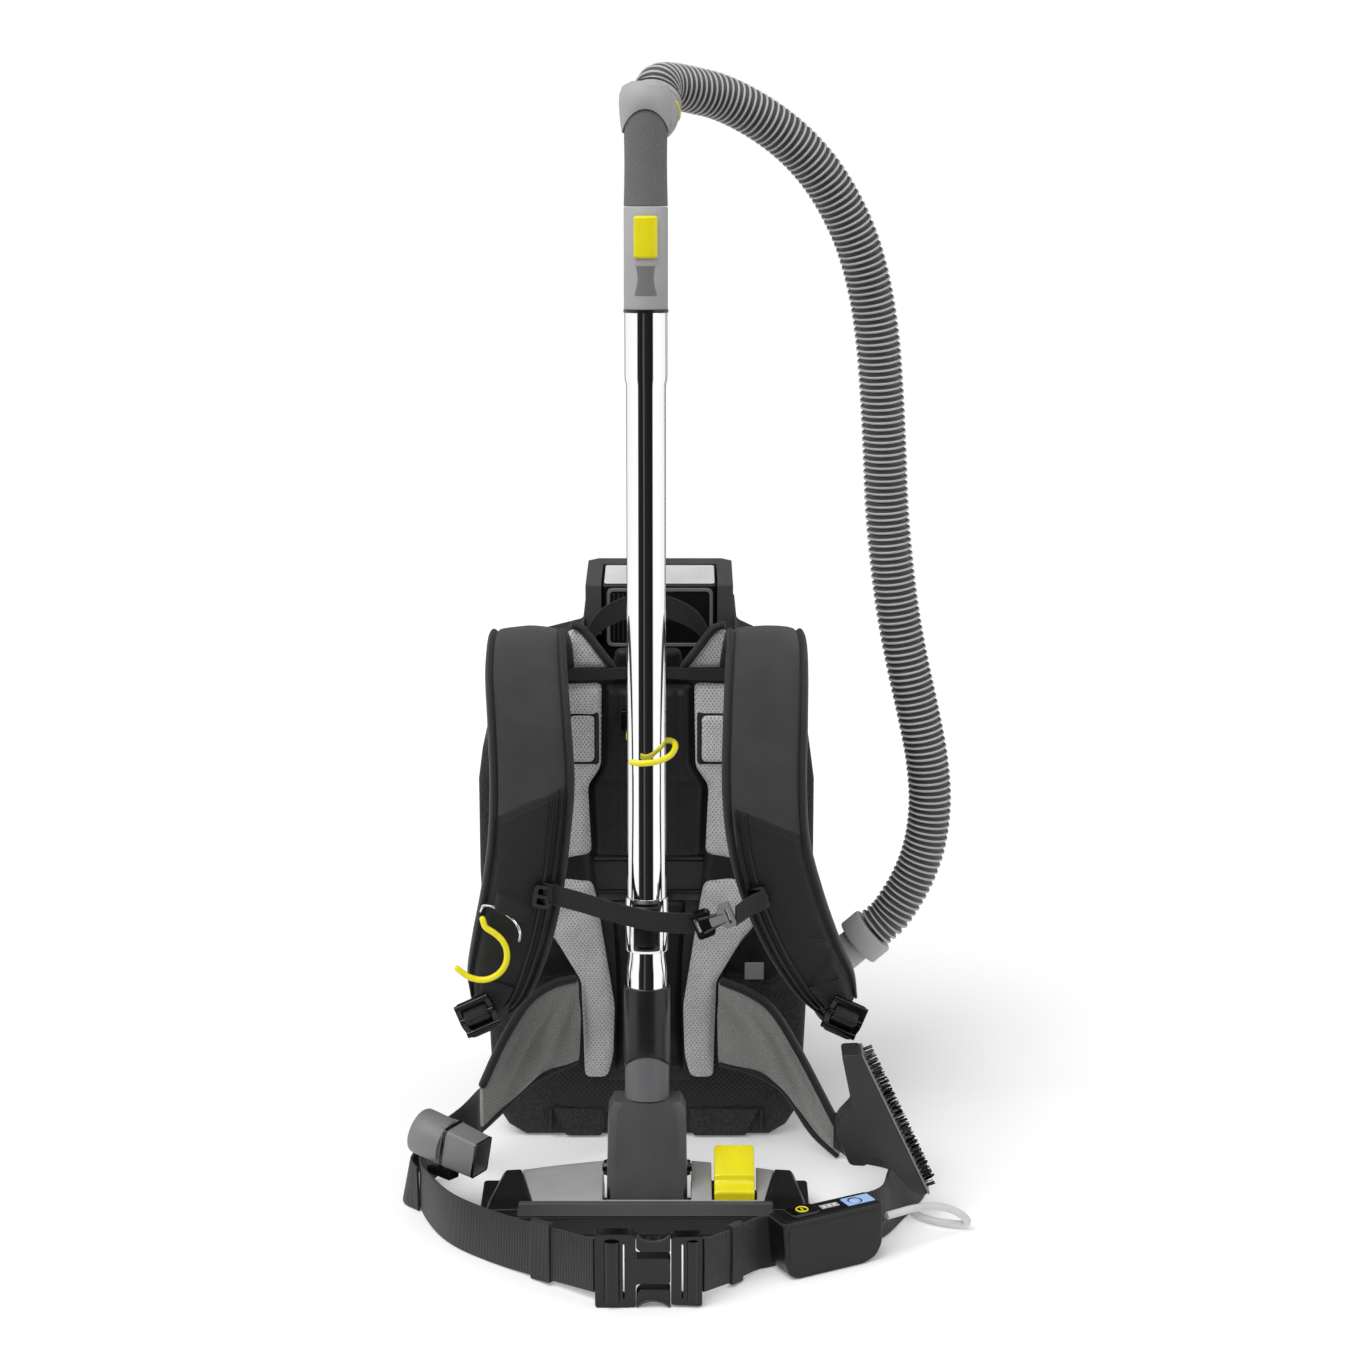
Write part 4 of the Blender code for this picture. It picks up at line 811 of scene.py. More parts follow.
def ladder_lock(side, centre, tilt):
    """A ladder-lock buckle: rounded frame, two slots, a lifted bar and its webbing."""
    place = Matrix.Translation(centre) @ Matrix.Rotation(math.radians(tilt), 4, "Y")
    outer = rounded([(-0.0165, 0.0175), (0.0165, 0.0175), (0.0178, -0.004), (0.014, -0.0165),
                     (-0.014, -0.0165), (-0.0178, -0.004)], 0.0045)
    upper = rounded(box_line(-0.0125, 0.0125, 0.0125, 0.005), 0.0015)
    lower = rounded([(-0.0125, -0.0002), (0.0125, -0.0002), (0.0115, -0.0085), (-0.0115, -0.0085)], 0.0015)
    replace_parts(slab(f"ladder_lock_{side}", [outer, upper, lower], -0.0045, 0.0015, GLOSS, matrix=place,
                bevel=0.0011), f"strap_adjuster_{side}")
    slab(f"ladder_back_{side}", rounded([(-0.013, 0.0135), (0.013, 0.0135), (0.0122, -0.0095),
                                         (-0.0122, -0.0095)], 0.002), 0.0016, 0.0036, NYLON, matrix=place)
    bar_places = ((-0.005, 0.0024, 0.0028), (-0.003, -0.0118, 0.0034), (-0.0028, 0.015, 0.0026))
    bars = [rod_bmesh(place @ Vector((-0.0165, y, z)), place @ Vector((0.0165, y, z)), size, 14)
            for y, z, size in bar_places]
    joined(f"ladder_bars_{side}", bars, GLOSS)
    loop = ((0.0045, 0.012), (-0.001, 0.0085), (-0.009, 0.0046), (-0.0092, 0.0006), (-0.002, -0.004),
            (0.0046, -0.006))
    rows = [tuple(place @ Vector((x, y, z)) for x in (-0.0112, 0.0112)) for y, z in loop]
    webbing(f"ladder_webbing_{side}", rows, 0.0018, WEBBING, count=26)


# --- Back pads --------------------------------------------------------------------

def inside(point, outline):
    x, z = point
    odd = False
    for (x1, z1), (x2, z2) in zip(outline, outline[1:] + outline[:1]):
        if (z1 > z) != (z2 > z) and x < x1 + (z - z1) * (x2 - x1) / (z2 - z1):
            odd = not odd
    return odd


def edge_distance(point, outline):
    p = Vector(point)
    best = 1.0
    for a, b in zip(outline, outline[1:] + outline[:1]):
        a, b = Vector(a), Vector(b)
        share = max(0.0, min(1.0, (p - a).dot(b - a) / max((b - a).length_squared, 1e-12)))
        best = min(best, (p - a.lerp(b, share)).length)
    return best


def pillow(name, outline, back, thick, surface, crown=0.01, grid=0.0035, feature=None, body="root",
           soft=0.0, lay=None, corner=0.006):
    """A crowned panel over an (x, z) outline, flat behind, facing -Y or as lay(x, z, out) says."""
    outline = rounded(outline, corner, 3)
    lay = lay or (lambda x, z, out: (x, back - out, z))
    border = []
    for a, b in zip(outline, outline[1:] + outline[:1]):
        a, b = Vector(a), Vector(b)
        steps = max(1, round((b - a).length / grid))
        border += [tuple(a.lerp(b, k / steps)) for k in range(steps)]
    xs, zs = [p[0] for p in outline], [p[1] for p in outline]
    points = list(border)
    row, z = 0, min(zs)
    while z < max(zs):
        x = min(xs) + (grid / 2 if row % 2 else 0.0)
        while x < max(xs):
            if inside((x, z), outline) and edge_distance((x, z), outline) > grid * 0.6:
                points.append((x, z))
            x += grid
        z += grid * 0.87
        row += 1
    count = len(border)
    ring = [(i, (i + 1) % count) for i in range(count)]
    flat, _, faces, *_ = geometry.delaunay_2d_cdt([Vector(p) for p in points], ring, [], 2, 1e-6)
    bm = bmesh.new()
    front, rear = [], []
    for p in flat:
        near = edge_distance(p, outline)
        share = min(1.0, near / crown)
        rise = thick * math.sqrt(max(0.0, 1 - (1 - share) ** 2))
        if feature:
            rise += feature(p[0], p[1]) * min(1.0, near / 0.004)
        rise += soft * noise.noise(Vector((p[0], back, p[1])) * 42) * share
        front.append(bm.verts.new(lay(p[0], p[1], 0.0003 + rise)))
        rear.append(bm.verts.new(lay(p[0], p[1], 0.0)))
    edges = {}
    for face in faces:
        bm.faces.new([front[i] for i in face])
        bm.faces.new([rear[i] for i in reversed(face)])
        for a, b in zip(face, face[1:] + face[:1]):
            edges[(a, b)] = edges.get((a, b), 0) + 1
    for a, b in edges:
        if (b, a) not in edges:
            bm.faces.new((front[a], rear[a], rear[b], front[b]))
    return from_bmesh(name, bm, surface, body, 65.0)


def mirror_x(outline):
    return [(2 * HARNESS_X - x, z) for x, z in reversed(outline)]


def on_side(shape, sign):
    """A shape given outwards from the harness's middle, laid to its left (-1) or right (1)."""
    points = [(HARNESS_X + sign * x, z) for x, z in shape]
    return points if sign < 0 else list(reversed(points))


def smooth_step(value, low, high):
    t = min(1.0, max(0.0, (value - low) / (high - low)))
    return t * t * (3 - 2 * t)


PAD_RIGHT = [(0.044, 0.47), (0.0455, 0.377), (0.0575, 0.359), (0.0545, 0.29), (0.05, 0.25), (0.041, 0.19),
             (0.033, 0.141), (0.035, 0.09), (0.041, 0.067), (0.064, 0.067), (0.067, 0.168), (0.086, 0.196),
             (0.104, 0.216), (0.106, 0.29), (0.104, 0.44), (0.096, 0.462)]
UPPER_RIGHT = [(0.045, 0.46), (0.0462, 0.379), (0.0585, 0.3605), (0.0555, 0.294), (0.08, 0.289),
               (0.103, 0.29), (0.101, 0.438), (0.094, 0.458)]
LOWER_RIGHT = [(0.0545, 0.266), (0.0505, 0.246), (0.042, 0.19), (0.0345, 0.141), (0.0362, 0.091),
               (0.0418, 0.069), (0.0632, 0.069), (0.066, 0.166), (0.074, 0.18), (0.09, 0.208),
               (0.102, 0.222), (0.104, 0.264), (0.08, 0.27)]
PAD_BACK = -0.0997


def back_pads():
    """Black base pads, each with a light mesh panel above and below a black band."""
    for side, turn in (("right", lambda o: o), ("left", mirror_x)):
        sign = 1 if side == "right" else -1
        base = pillow(f"back_pad_{side}_base", turn(PAD_RIGHT), PAD_BACK, 0.0125, NYLON,
                      0.012, 0.005, soft=0.001)
        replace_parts(base, f"back_pad_{side}")

        def folds(x, z, sign=sign):
            across = sign * (x - HARNESS_X)
            dent = math.exp(-((across - 0.052) / 0.01) ** 2 - ((z - 0.2) / 0.016) ** 2)
            return -0.003 * dent + 0.0007 * math.sin(z * 210 + across * 160) * smooth_step(z, 0.19, 0.24)

        upper = pillow(f"mesh_panel_{side}_upper", turn(UPPER_RIGHT), -0.1115, 0.0072, MESH,
                       0.009, 0.003, soft=0.0008)
        lower = pillow(f"mesh_panel_{side}_lower", turn(LOWER_RIGHT), -0.1115, 0.0072, MESH,
                       0.01, 0.003, folds, soft=0.001)
        # Under each raised mesh block a slightly larger thin black slab: painted shadow in the gap round the
        # block
        gap_outline, block = (turn(box_line(x0, z0, x1, z1)) for x0, x1, z0, z1 in (
            (0.0475, 0.079, 0.3815, 0.435), (0.051, 0.0755, 0.385, 0.4315)))
        painted_gap = pillow(f"pad_shadow_gap_{side}", gap_outline, -0.1172, 0.0022, NYLON, 0.003, 0.003, soft=0.0004)
        cushion = pillow(f"pad_block_{side}", block, -0.1172, 0.0066, MESH, 0.004, 0.0026, soft=0.0006)


def centre_pad():
    """Black padded centre with two sewn lines, a stepped foot and a dark plate below it."""
    outline = [(HARNESS_X + x, z) for x, z in [(0.042, 0.455), (0.043, 0.379), (0.055, 0.361),
            (0.052, 0.288)]]
    outline += [(2 * HARNESS_X - x, z) for x, z in reversed(outline)]

    def channels(x, z):
        across = abs(x - HARNESS_X)
        line = -0.0022 * max(0.0, 1 - abs(across - 0.0275) / 0.003)
        step = -0.0016 * max(0.0, 1 - abs(z - 0.364) / 0.0035)
        return line + step

    pad = pillow("centre_pad_soft", outline, PAD_BACK, 0.0115, BINDING, 0.01, 0.0032, channels, soft=0.0012)
    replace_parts(pad, "centre_pad")
    lower = [(-0.033, 0.244), (-0.03, 0.19), (-0.0285, 0.14), (-0.031, 0.07), (0.035, 0.07),
             (0.0325, 0.14), (0.034, 0.19), (0.037, 0.244)]
    pillow("lower_back_panel", lower, -0.0994, 0.005, NYLON, 0.01, 0.0045, soft=0.0025)
    for k, (low, high) in enumerate(((0.243, 0.253), (0.2835, 0.29))):
        slab(f"plate_lip_{k}", box_line(-0.05, low, 0.054, high), -0.1016, -0.0994, GLOSS)
    slab("back_plate_window", rounded(box_line(-0.05, 0.2545, 0.054, 0.2825), 0.002), -0.101, -0.0994, DARK)


def harness_top():
    """Light mesh gussets, the black V binding and the band across the pads' tops."""
    for side, sign in (("left", -1), ("right", 1)):
        shape = [(0.03, 0.4735), (0.056, 0.509), (0.074, 0.51), (0.078, 0.4735)]
        gusset = pillow(f"mesh_gusset_{side}", on_side(shape, sign), -0.107, 0.004, MESH, 0.006, 0.003)
        roll = [(HARNESS_X + sign * x, y, z) for x, y, z in
                [(0.03, -0.11, 0.469), (0.0345, -0.112, 0.477), (0.044, -0.113, 0.49),
                 (0.056, -0.112, 0.506), (0.064, -0.111, 0.514), (0.072, -0.113, 0.5165)]]
        tube(f"gusset_binding_{side}", roll, 0.004, BINDING, sides=12)
    rows = [((x, y, 0.4645), (x, y, 0.4755)) for x, y in
            [(-0.096, -0.116), (-0.075, -0.1185), (-0.04, -0.119), (-0.02, -0.115), (0.002, -0.113),
             (0.024, -0.115), (0.044, -0.119), (0.079, -0.1185), (0.1, -0.116)]]
    webbing("top_band", rows, 0.0024, BINDING, 60, flip=True)
    yoke = [(-0.034, 0.46), (-0.028, 0.49), (0.032, 0.49), (0.038, 0.46)]
    pillow("top_yoke_panel", yoke, -0.0985, 0.0035, NYLON, 0.006, 0.004)


def carry_handle():
    arch = [(-0.056, 0.496), (-0.043, 0.516), (-0.022, 0.528), (0.002, 0.532), (0.026, 0.528),
            (0.047, 0.516), (0.06, 0.496)]
    rows = []
    for x, z in arch:
        lean = 0.0025 * (1 - abs(x - HARNESS_X) / 0.06)
        rows.append(((x, -0.104 - lean, z - 0.0105), (x, -0.104 + lean, z + 0.0105)))
    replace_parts(webbing("carry_handle_webbing", rows, 0.003, WEBBING, count=70, flip=True), "carry_handle")


# --- Chest strap ------------------------------------------------------------------

def chest_strap():
    left = [(-0.09, -0.2668, 0.307), (-0.06, -0.2725, 0.301), (-0.03, -0.28, 0.294),
            (0.002, -0.2862, 0.288), (0.025, -0.287, 0.2857), (0.044, -0.2868, 0.285)]
    right = [(0.0815, -0.2868, 0.292), (0.095, -0.276, 0.298), (0.108, -0.268, 0.301)]
    for side, middle in (("left", left), ("right", right)):
        rows = [((x, y, z - 0.0095), (x, y, z + 0.0095)) for x, y, z in middle]
        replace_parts(webbing(f"chest_strap_{side}", rows, 0.0022, WEBBING, count=60, flip=True),
                    f"chest_webbing_{side}")
    folds = []
    for x0 in (-0.086, -0.0835, -0.081, -0.0785):
        folds.append(box_bmesh((x0, -0.2705, 0.2975), (x0 + 0.0016, -0.2672, 0.315)))
    joined("chest_strap_gathers", folds, WEBBING)
    turn = Matrix.Translation((0.062, -0.2865, 0.2885)) @ Matrix.Rotation(math.radians(-22), 4, "Y")
    socket = rounded([(-0.0185, -0.0118), (-0.004, -0.0118), (-0.0012, -0.0085), (-0.0012, 0.0085),
                      (-0.004, 0.0118), (-0.0185, 0.0118)], 0.003)
    slot_hole = rounded(box_line(-0.0165, -0.0085, -0.0135, 0.0085), 0.001)
    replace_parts(slab("chest_socket", [socket, slot_hole], -0.006, 0.0055, GLOSS, matrix=turn, bevel=0.0016,
                segments=3), "chest_buckle_socket")
    plug = rounded([(-0.0035, -0.0045), (0.004, -0.0038), (0.0085, -0.0105), (0.018, -0.0105),
                    (0.018, 0.0105), (0.0085, 0.0105), (0.004, 0.0038), (-0.0035, 0.0045)], 0.0022)
    gap = rounded(box_line(0.0125, -0.0075, 0.015, 0.0075), 0.001)
    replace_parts(slab("chest_plug", [plug, gap], -0.0064, 0.0045, MID, matrix=turn, bevel=0.0012),
                "chest_buckle_plug")
    prongs = [rod_bmesh(turn @ Vector((-0.012, -0.0052, z)), turn @ Vector((0.01, -0.0052, z * 0.55)),
                        0.0013, 10) for z in (-0.007, 0.007)]
    joined("chest_plug_prongs", prongs, DARK, slot="mid_plastic")


# --- Hip fins ---------------------------------------------------------------------

FINS = {
    "left": ([(-0.066, -0.12, 0.088), (-0.09, -0.133, 0.083), (-0.112, -0.15, 0.076),
              (-0.133, -0.176, 0.064), (-0.153, -0.2045, 0.054)],
             [(-0.066, -0.12, 0.172), (-0.088, -0.133, 0.171), (-0.111, -0.15, 0.16),
              (-0.133, -0.176, 0.132), (-0.153, -0.2045, 0.095)]),
    "right": ([(0.069, -0.12, 0.086), (0.095, -0.127, 0.082), (0.116, -0.132, 0.074),
               (0.134, -0.136, 0.06), (0.158, -0.141, 0.024), (0.183, -0.148, 0.002)],
              [(0.069, -0.12, 0.17), (0.096, -0.127, 0.161), (0.119, -0.132, 0.145),
               (0.142, -0.136, 0.108), (0.168, -0.141, 0.058), (0.188, -0.148, 0.02)]),
}


def hip_fin(side):
    """A padded wing with pleats that fan out from its top, bound in black."""
    low, high = FINS[side]
    columns, rows = 46, 24
    rings = []
    for i in range(columns + 1):
        t = i / columns
        a, b = Vector(spline(low, t)), Vector(spline(high, t))
        c, d = Vector(spline(low, min(t + 0.02, 1.0))), Vector(spline(low, max(t - 0.02, 0.0)))
        out = (b - a).cross(c - d).normalized()
        if out.y > 0:
            out = -out
        front, back = [], []
        for j in range(rows + 1):
            v = j / rows
            round_off = math.sqrt(max(0.0, 1 - (2 * v - 1) ** 6)) * (1 - t ** 8 * 0.5)
            angle = math.atan2(v - 1.12, t + 0.1)
            pleat = 0.0034 * math.sin(angle * 17) * smooth_step(1 - v, 0.05, 0.5) * (1 - t ** 4)
            front.append(a.lerp(b, v) + out * (0.0042 * round_off + pleat * round_off))
            back.append(a.lerp(b, v) - out * 0.0036 * round_off)
        rings.append(front + list(reversed(back)))
    fin = from_bmesh(f"hip_fin_{side}_pad", ring_mesh(rings), FIN, "root", 65.0)
    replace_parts(fin, f"hip_fin_{side}")
    for k, (line, size) in enumerate(((high, 0.0042), (low, 0.0032))):
        points = [Vector(p) + Vector((0, -0.0006, 0)) for p in line]
        tube(f"hip_fin_{side}_binding_{k}", points, size, BINDING, sides=12)


# --- Waist belt -------------------------------------------------------------------

def upright(x, y, z, height=0.05, lean=(0.0, 0.0)):
    return (x, y, z), (x + lean[0], y + lean[1], z + height)


BELT_LEFT = [upright(*row) for row in (
    (-0.0418, -0.457, 0.009), (-0.071, -0.433, 0.006), (-0.1, -0.407, 0.002), (-0.134, -0.38, 0.0006),
    (-0.17, -0.345, 0.0006), (-0.192, -0.306, 0.0006), (-0.206, -0.262, 0.0006, 0.046),
    (-0.206, -0.22, 0.0006, 0.044), (-0.196, -0.196, 0.003), (-0.178, -0.186, 0.018, 0.05, (0.004, 0.0)),
    (-0.158, -0.192, 0.042, 0.047, (0.002, 0.0)), (-0.1525, -0.2035, 0.05, 0.042))]
BELT_RIGHT = [upright(*row) for row in (
    (0.0518, -0.457, 0.009), (0.078, -0.425, 0.004), (0.098, -0.396, 0.0006), (0.112, -0.3885, 0.0006),
    (0.15, -0.368, 0.0006), (0.194, -0.3443, 0.0006), (0.216, -0.325, 0.0006, 0.048, (-0.002, 0.004)),
    (0.236, -0.286, 0.0006, 0.04, (-0.012, 0.022)), (0.251, -0.255, 0.0006, 0.038, (-0.014, 0.02)),
    (0.259, -0.228, 0.0006, 0.038, (-0.014, 0.012)), (0.25, -0.2, 0.0006, 0.046, (-0.006, 0.0)),
    (0.226, -0.172, 0.0006), (0.2, -0.157, 0.0006, 0.048), (0.178, -0.15, 0.012, 0.036))]


def belts():
    for side, rows in (("left", BELT_LEFT), ("right", BELT_RIGHT)):
        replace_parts(webbing(f"waist_belt_{side}", rows, 0.0026, BELTING, count=150, wavy=0.001),
                    f"belt_{side}")
    keeper("keeper_left", Band(BELT_LEFT), 0.118, 0.172)
    keeper("keeper_right", Band(BELT_RIGHT), 0.066, 0.098)
    fold = [((-0.2075, -0.27, 0.0008), (-0.208, -0.271, 0.044)),
            ((-0.223, -0.25, 0.001), (-0.215, -0.252, 0.045)),
            ((-0.218, -0.226, 0.01), (-0.211, -0.233, 0.047)),
            ((-0.2085, -0.214, 0.02), (-0.2075, -0.223, 0.049))]
    webbing("belt_fold_left", fold, 0.0024, BELTING, count=24)


def keeper(name, band, t0, t1):
    """A webbing loop round the belt, a little taller than it."""
    rings = []
    for i in range(9):
        t = t0 + (t1 - t0) * i / 8
        low, high = band.edges(t)
        out = band.normal(t)
        down, up = low + Vector((0, 0, -0.0012)), high + Vector((0, 0, 0.003))
        down.z = max(down.z, 0.0004)
        thick = 0.0036
        rings.append([down + out * thick, down.lerp(up, 0.5) + out * (thick + 0.0004), up + out * thick,
                      up + Vector((0, 0, 0.0014)), up - out * thick, down.lerp(up, 0.5) - out * thick,
                      down - out * thick])
    return from_bmesh(name, ring_mesh(rings), WEBBING, "root", 50.0)


def waist_buckle():
    """Side-release buckle seen from the front: two slotted frames and a smooth centre."""
    front, rear = -0.4695, -0.4555
    outer = rounded([(-0.041, 0.0), (-0.041, 0.068), (-0.012, 0.068), (-0.0105, 0.0675),
                     (-0.006, 0.0675), (-0.006, 0.046), (0.0238, 0.046), (0.0238, 0.022),
                     (-0.006, 0.022), (-0.006, 0.0005), (-0.0105, 0.0005), (-0.012, 0.0)], 0.003)
    window = rounded([(-0.017, 0.009), (-0.017, 0.059), (-0.0157, 0.059), (-0.0157, 0.009)], 0.0006)
    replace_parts(slab("buckle_socket", [outer, window], front, rear, GLOSS, bevel=0.0014, segments=3),
                "waist_buckle_socket")
    plug_line = rounded([(0.0243, 0.003), (0.0243, 0.0655), (0.051, 0.0665), (0.051, 0.0015)], 0.003)
    window = rounded([(0.0334, 0.009), (0.0334, 0.059), (0.0347, 0.059), (0.0347, 0.009)], 0.0006)
    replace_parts(slab("buckle_plug", [plug_line, window], front, rear, GLOSS, bevel=0.0014, segments=3),
                "waist_buckle_plug")
    bars = [rod_bmesh((x, front + 0.003, 0.006), (x, front + 0.003, 0.062), size, 18)
            for x, size in ((-0.0265, 0.0075), (-0.0118, 0.0024), (0.043, 0.0058), (0.029, 0.0026))]
    joined("buckle_bars", bars, GLOSS)
    for name, rise, near, far in (("upper", 1, 0.0512, 0.0672), ("lower", -1, 0.0168, 0.0008)):
        bow = [(-0.0056 + 0.0292 * k / 12, far - rise * 0.006 * math.sin(math.pi * k / 12) ** 0.7)
               for k in range(13)]
        line = bow + [(0.0236, near), (-0.0022, near), (-0.0056, near + rise * 0.0036)]
        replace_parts(slab(f"buckle_tab_{name}_grip", line if rise < 0 else list(reversed(line)),
                         front + 0.0008, rear - 0.0008, GLOSS, body=f"buckle_tab_{name}", bevel=0.001),
                    f"buckle_tab_{name}")
        # A dark grey rod along each bow of the black tab: painted highlight on its rounded edge
        tube(f"buckle_tab_{name}_rim", [(x, front + 0.0006, z) for x, z in bow], 0.0012, DARK,
             f"buckle_tab_{name}", 0.0015, 10, slot="black_plastic")


# --- Casing -----------------------------------------------------------------------

def casing():
    """The CAD solids of the casing and what it holds, finished in place."""
    for node, surface, edge in (
        ("casing_shell", EPP, 0.0), ("filter_lid", DARK, 0.0015), ("lid_latch", YELLOW, 0.001),
        ("battery_hood", HOOD, 0.0022), ("battery_pack", SATIN, 0.0), ("battery_latch", YELLOW, 0.001),
        ("motor_housing", DARK, 0.001), ("fan_impeller", LIGHT, 0.0006), ("exhaust_filter", FLEECE, 0.0),
        ("lid_hinge_pin", STEEL, 0.0004), ("frame_plate", DARK, 0.001),
    ):
        dress(node, surface, edge)
    for side, block, sign, inner, outer in (("left", "l0_092", -1, -0.041, -0.092),
                                            ("right", "r0_041", 1, 0.041, 0.109)):
        foot = [(outer, 0.03), (outer - sign * 0.014, 0.002), (inner + sign * 0.004, 0.002),
                (inner, 0.012), (inner, 0.03)]
        slab(f"foot_block_{block}", foot, -0.0985, -0.0945, EPP, bevel=0.0018)
        slab(f"foot_rib_{side}", [(outer, 0.03), (outer, 0.008), (outer + sign * 0.0024, 0.008),
                                  (outer + sign * 0.0024, 0.03)], -0.1005, -0.0945, EPP, bevel=0.0006)
    arc = [(-0.128, 0.08)]
    for k in range(13):
        angle = math.pi * k / 12
        arc.append((HARNESS_X - 0.128 * math.cos(angle), 0.074 - 0.052 * math.sin(angle) ** 0.8))
    arc += [(0.132, 0.08), (0.06, 0.12), (-0.056, 0.12)]
    slab("dotted_panel", arc, -0.0962, -0.0945, GRILLE, bevel=0.0006)
    for k, (z0, z1) in enumerate(((0.262, 0.268), (0.148, 0.154))):
        for side, x0, x1 in (("left", -0.1592, -0.156), ("right", 0.156, 0.1592)):
            slab(f"casing_step_{k}_{side}", box_line(-0.06, z0, 0.084, z1), x0, x1, EPP, "X", bevel=0.0012)
    vents = []
    for x0, x1 in ((-0.1586, -0.1568), (0.1568, 0.1586)):
        for k in range(7):
            z = 0.268 + 0.0125 * k
            vents.append(box_bmesh((x0, -0.05, z), (x1, 0.04, z + 0.0055)))
    joined("side_vents", vents, GLOSS)
    slab("grey_patch", rounded(box_line(0.093, 0.17, 0.111, 0.187), 0.001),
         -0.118, -0.1165, MID, bevel=0.0003)


def strap_anchors():
    """Black webbing panels on the casing behind the pads, which the straps and fins are sewn to."""
    for side, sign in (("left", -1), ("right", 1)):
        shape = [(0.068, 0.262), (0.104, 0.25), (0.133, 0.205), (0.14, 0.18), (0.118, 0.158),
                 (0.068, 0.168)]
        panel = pillow(f"anchor_panel_{side}", on_side(shape, sign), -0.0965, 0.0022, NYLON, 0.004, 0.0045,
                       soft=0.0014)
        middle = [(0.1, -0.1, 0.205), (0.118, -0.106, 0.196), (0.136, -0.13, 0.182), (0.15, -0.17, 0.17),
                  (0.16, -0.208, 0.164), (0.155 if sign < 0 else 0.178, -0.236, 0.166)]
        rows = [((HARNESS_X + sign * x, y, z), (HARNESS_X + sign * (x + 0.0015), y, z + 0.022))
                for x, y, z in middle]
        webbing(f"anchor_webbing_{side}", rows, 0.0022, WEBBING, count=40, flip=sign > 0, wavy=0.0008)


def rear_lid():
    """Moulded detail of the lid, riding on it: a frame, louvres, a latch plate and screws."""
    face = 0.14
    frame_line = rounded([(-0.118, 0.085), (0.118, 0.085), (0.118, 0.39), (0.096, 0.42), (-0.096, 0.42),
                          (-0.118, 0.39)], 0.014, 6)
    opening = rounded([(-0.11, 0.093), (0.11, 0.093), (0.11, 0.387), (0.092, 0.412), (-0.092, 0.412),
                       (-0.11, 0.387)], 0.01, 6)
    slab("lid_frame", [frame_line, opening], face - 0.001, face + 0.003, DARK, body="filter_lid",
         bevel=0.001)
    slats = [box_bmesh((-0.096, face - 0.001, 0.112 + 0.0135 * k),
                       (0.096, face + 0.0024, 0.1175 + 0.0135 * k)) for k in range(20)]
    louvres = joined("lid_louvres", slats, SATIN, "filter_lid")
    soften(louvres, 0.0008)
    slab("lid_latch_plate", rounded(box_line(-0.034, 0.432, 0.034, 0.474), 0.006),
         face - 0.001, face + 0.00035, SATIN, body="filter_lid")
    grip_lines = [box_bmesh((-0.017, 0.147, z),
                            (0.017, 0.1481, z + 0.0018)) for z in (0.446, 0.4505, 0.455, 0.4595)]
    joined("lid_latch_ribs", grip_lines, YELLOW, "lid_latch")
    heads, recess_shades = [], []
    for x, z in ((-0.13, 0.1), (0.13, 0.1), (-0.132, 0.36), (0.132, 0.36)):
        heads.append(rod_bmesh((x, face - 0.001, z), (x, face + 0.0016, z), 0.0042, 24))
        # Thin black crosses on the steel heads: painted shade of the cross recesses
        recess_shades += [box_bmesh((x - 0.0026, face + 0.0014, z - 0.0005),
                              (x + 0.0026, face + 0.0018, z + 0.0005)),
                    box_bmesh((x - 0.0005, face + 0.0014, z - 0.0026),
                              (x + 0.0005, face + 0.0018, z + 0.0026))]
    soften(joined("lid_screws", heads, STEEL, "filter_lid"), 0.0005)
    joined("lid_screw_recess_shade", recess_shades, SATIN, "filter_lid")
    painted_highlight = rounded([(-0.128, 0.072), (0.128, 0.072), (0.143, 0.2), (0.143, 0.35), (0.128, 0.412),
                   (0.106, 0.44), (-0.106, 0.44), (-0.128, 0.412), (-0.143, 0.35), (-0.143, 0.2)], 0.02, 6)
    inner = rounded([(-0.124, 0.076), (0.124, 0.076), (0.139, 0.2), (0.139, 0.348), (0.124, 0.41),
                     (0.104, 0.436), (-0.104, 0.436), (-0.124, 0.41), (-0.139, 0.348), (-0.139, 0.2)], 0.02,
                    6)
    slab("lid_seal", [painted_highlight, inner], 0.0948, 0.0985, GLOSS, body="filter_lid", bevel=0.0008)


def filter_bag():
    """A stuffed fleece bag with a card collar, as in a dry vacuum."""
    low, high = Vector((-0.125, -0.06, 0.13)), Vector((0.08, 0.088, 0.375))
    centre, half = (low + high) / 2, (high - low) / 2
    rings = []
    count, sides = 46, 64
    for i in range(count + 1):
        v = -math.cos(math.pi * i / count)
        slim = max(0.02, (1 - abs(v) ** 4.5)) ** 0.45
        ring = []
        for k in range(sides):
            a = 2 * math.pi * k / sides
            c, s = math.cos(a), math.sin(a)
            x = math.copysign(abs(c) ** 0.55, c)
            y = math.copysign(abs(s) ** 0.55, s)
            p = Vector((x * half.x * slim, y * half.y * slim, v * half.z)) * 0.97
            crease = noise.noise(Vector((p.x * 14, p.y * 14, p.z * 9))) * 0.006
            tuck = 0.004 * math.sin(a * 12) * max(0.0, abs(v) - 0.6)
            ring.append(centre + p * (1 - abs(crease + tuck) / 0.12))
        rings.append(ring)
    bag = from_bmesh("filter_bag_soft", ring_mesh(rings), FLEECE, "root", 80.0)
    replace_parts(bag, "filter_bag")
    collar = rounded(box_line(-0.015, -0.045, 0.075, 0.045), 0.008)
    hole = circle(0.03, 0.0, 0.02, 24)
    slab("filter_bag_collar", [collar, hole], 0.366, 0.371, LABEL, "Z", bevel=0.0006, slot="filter_fleece")


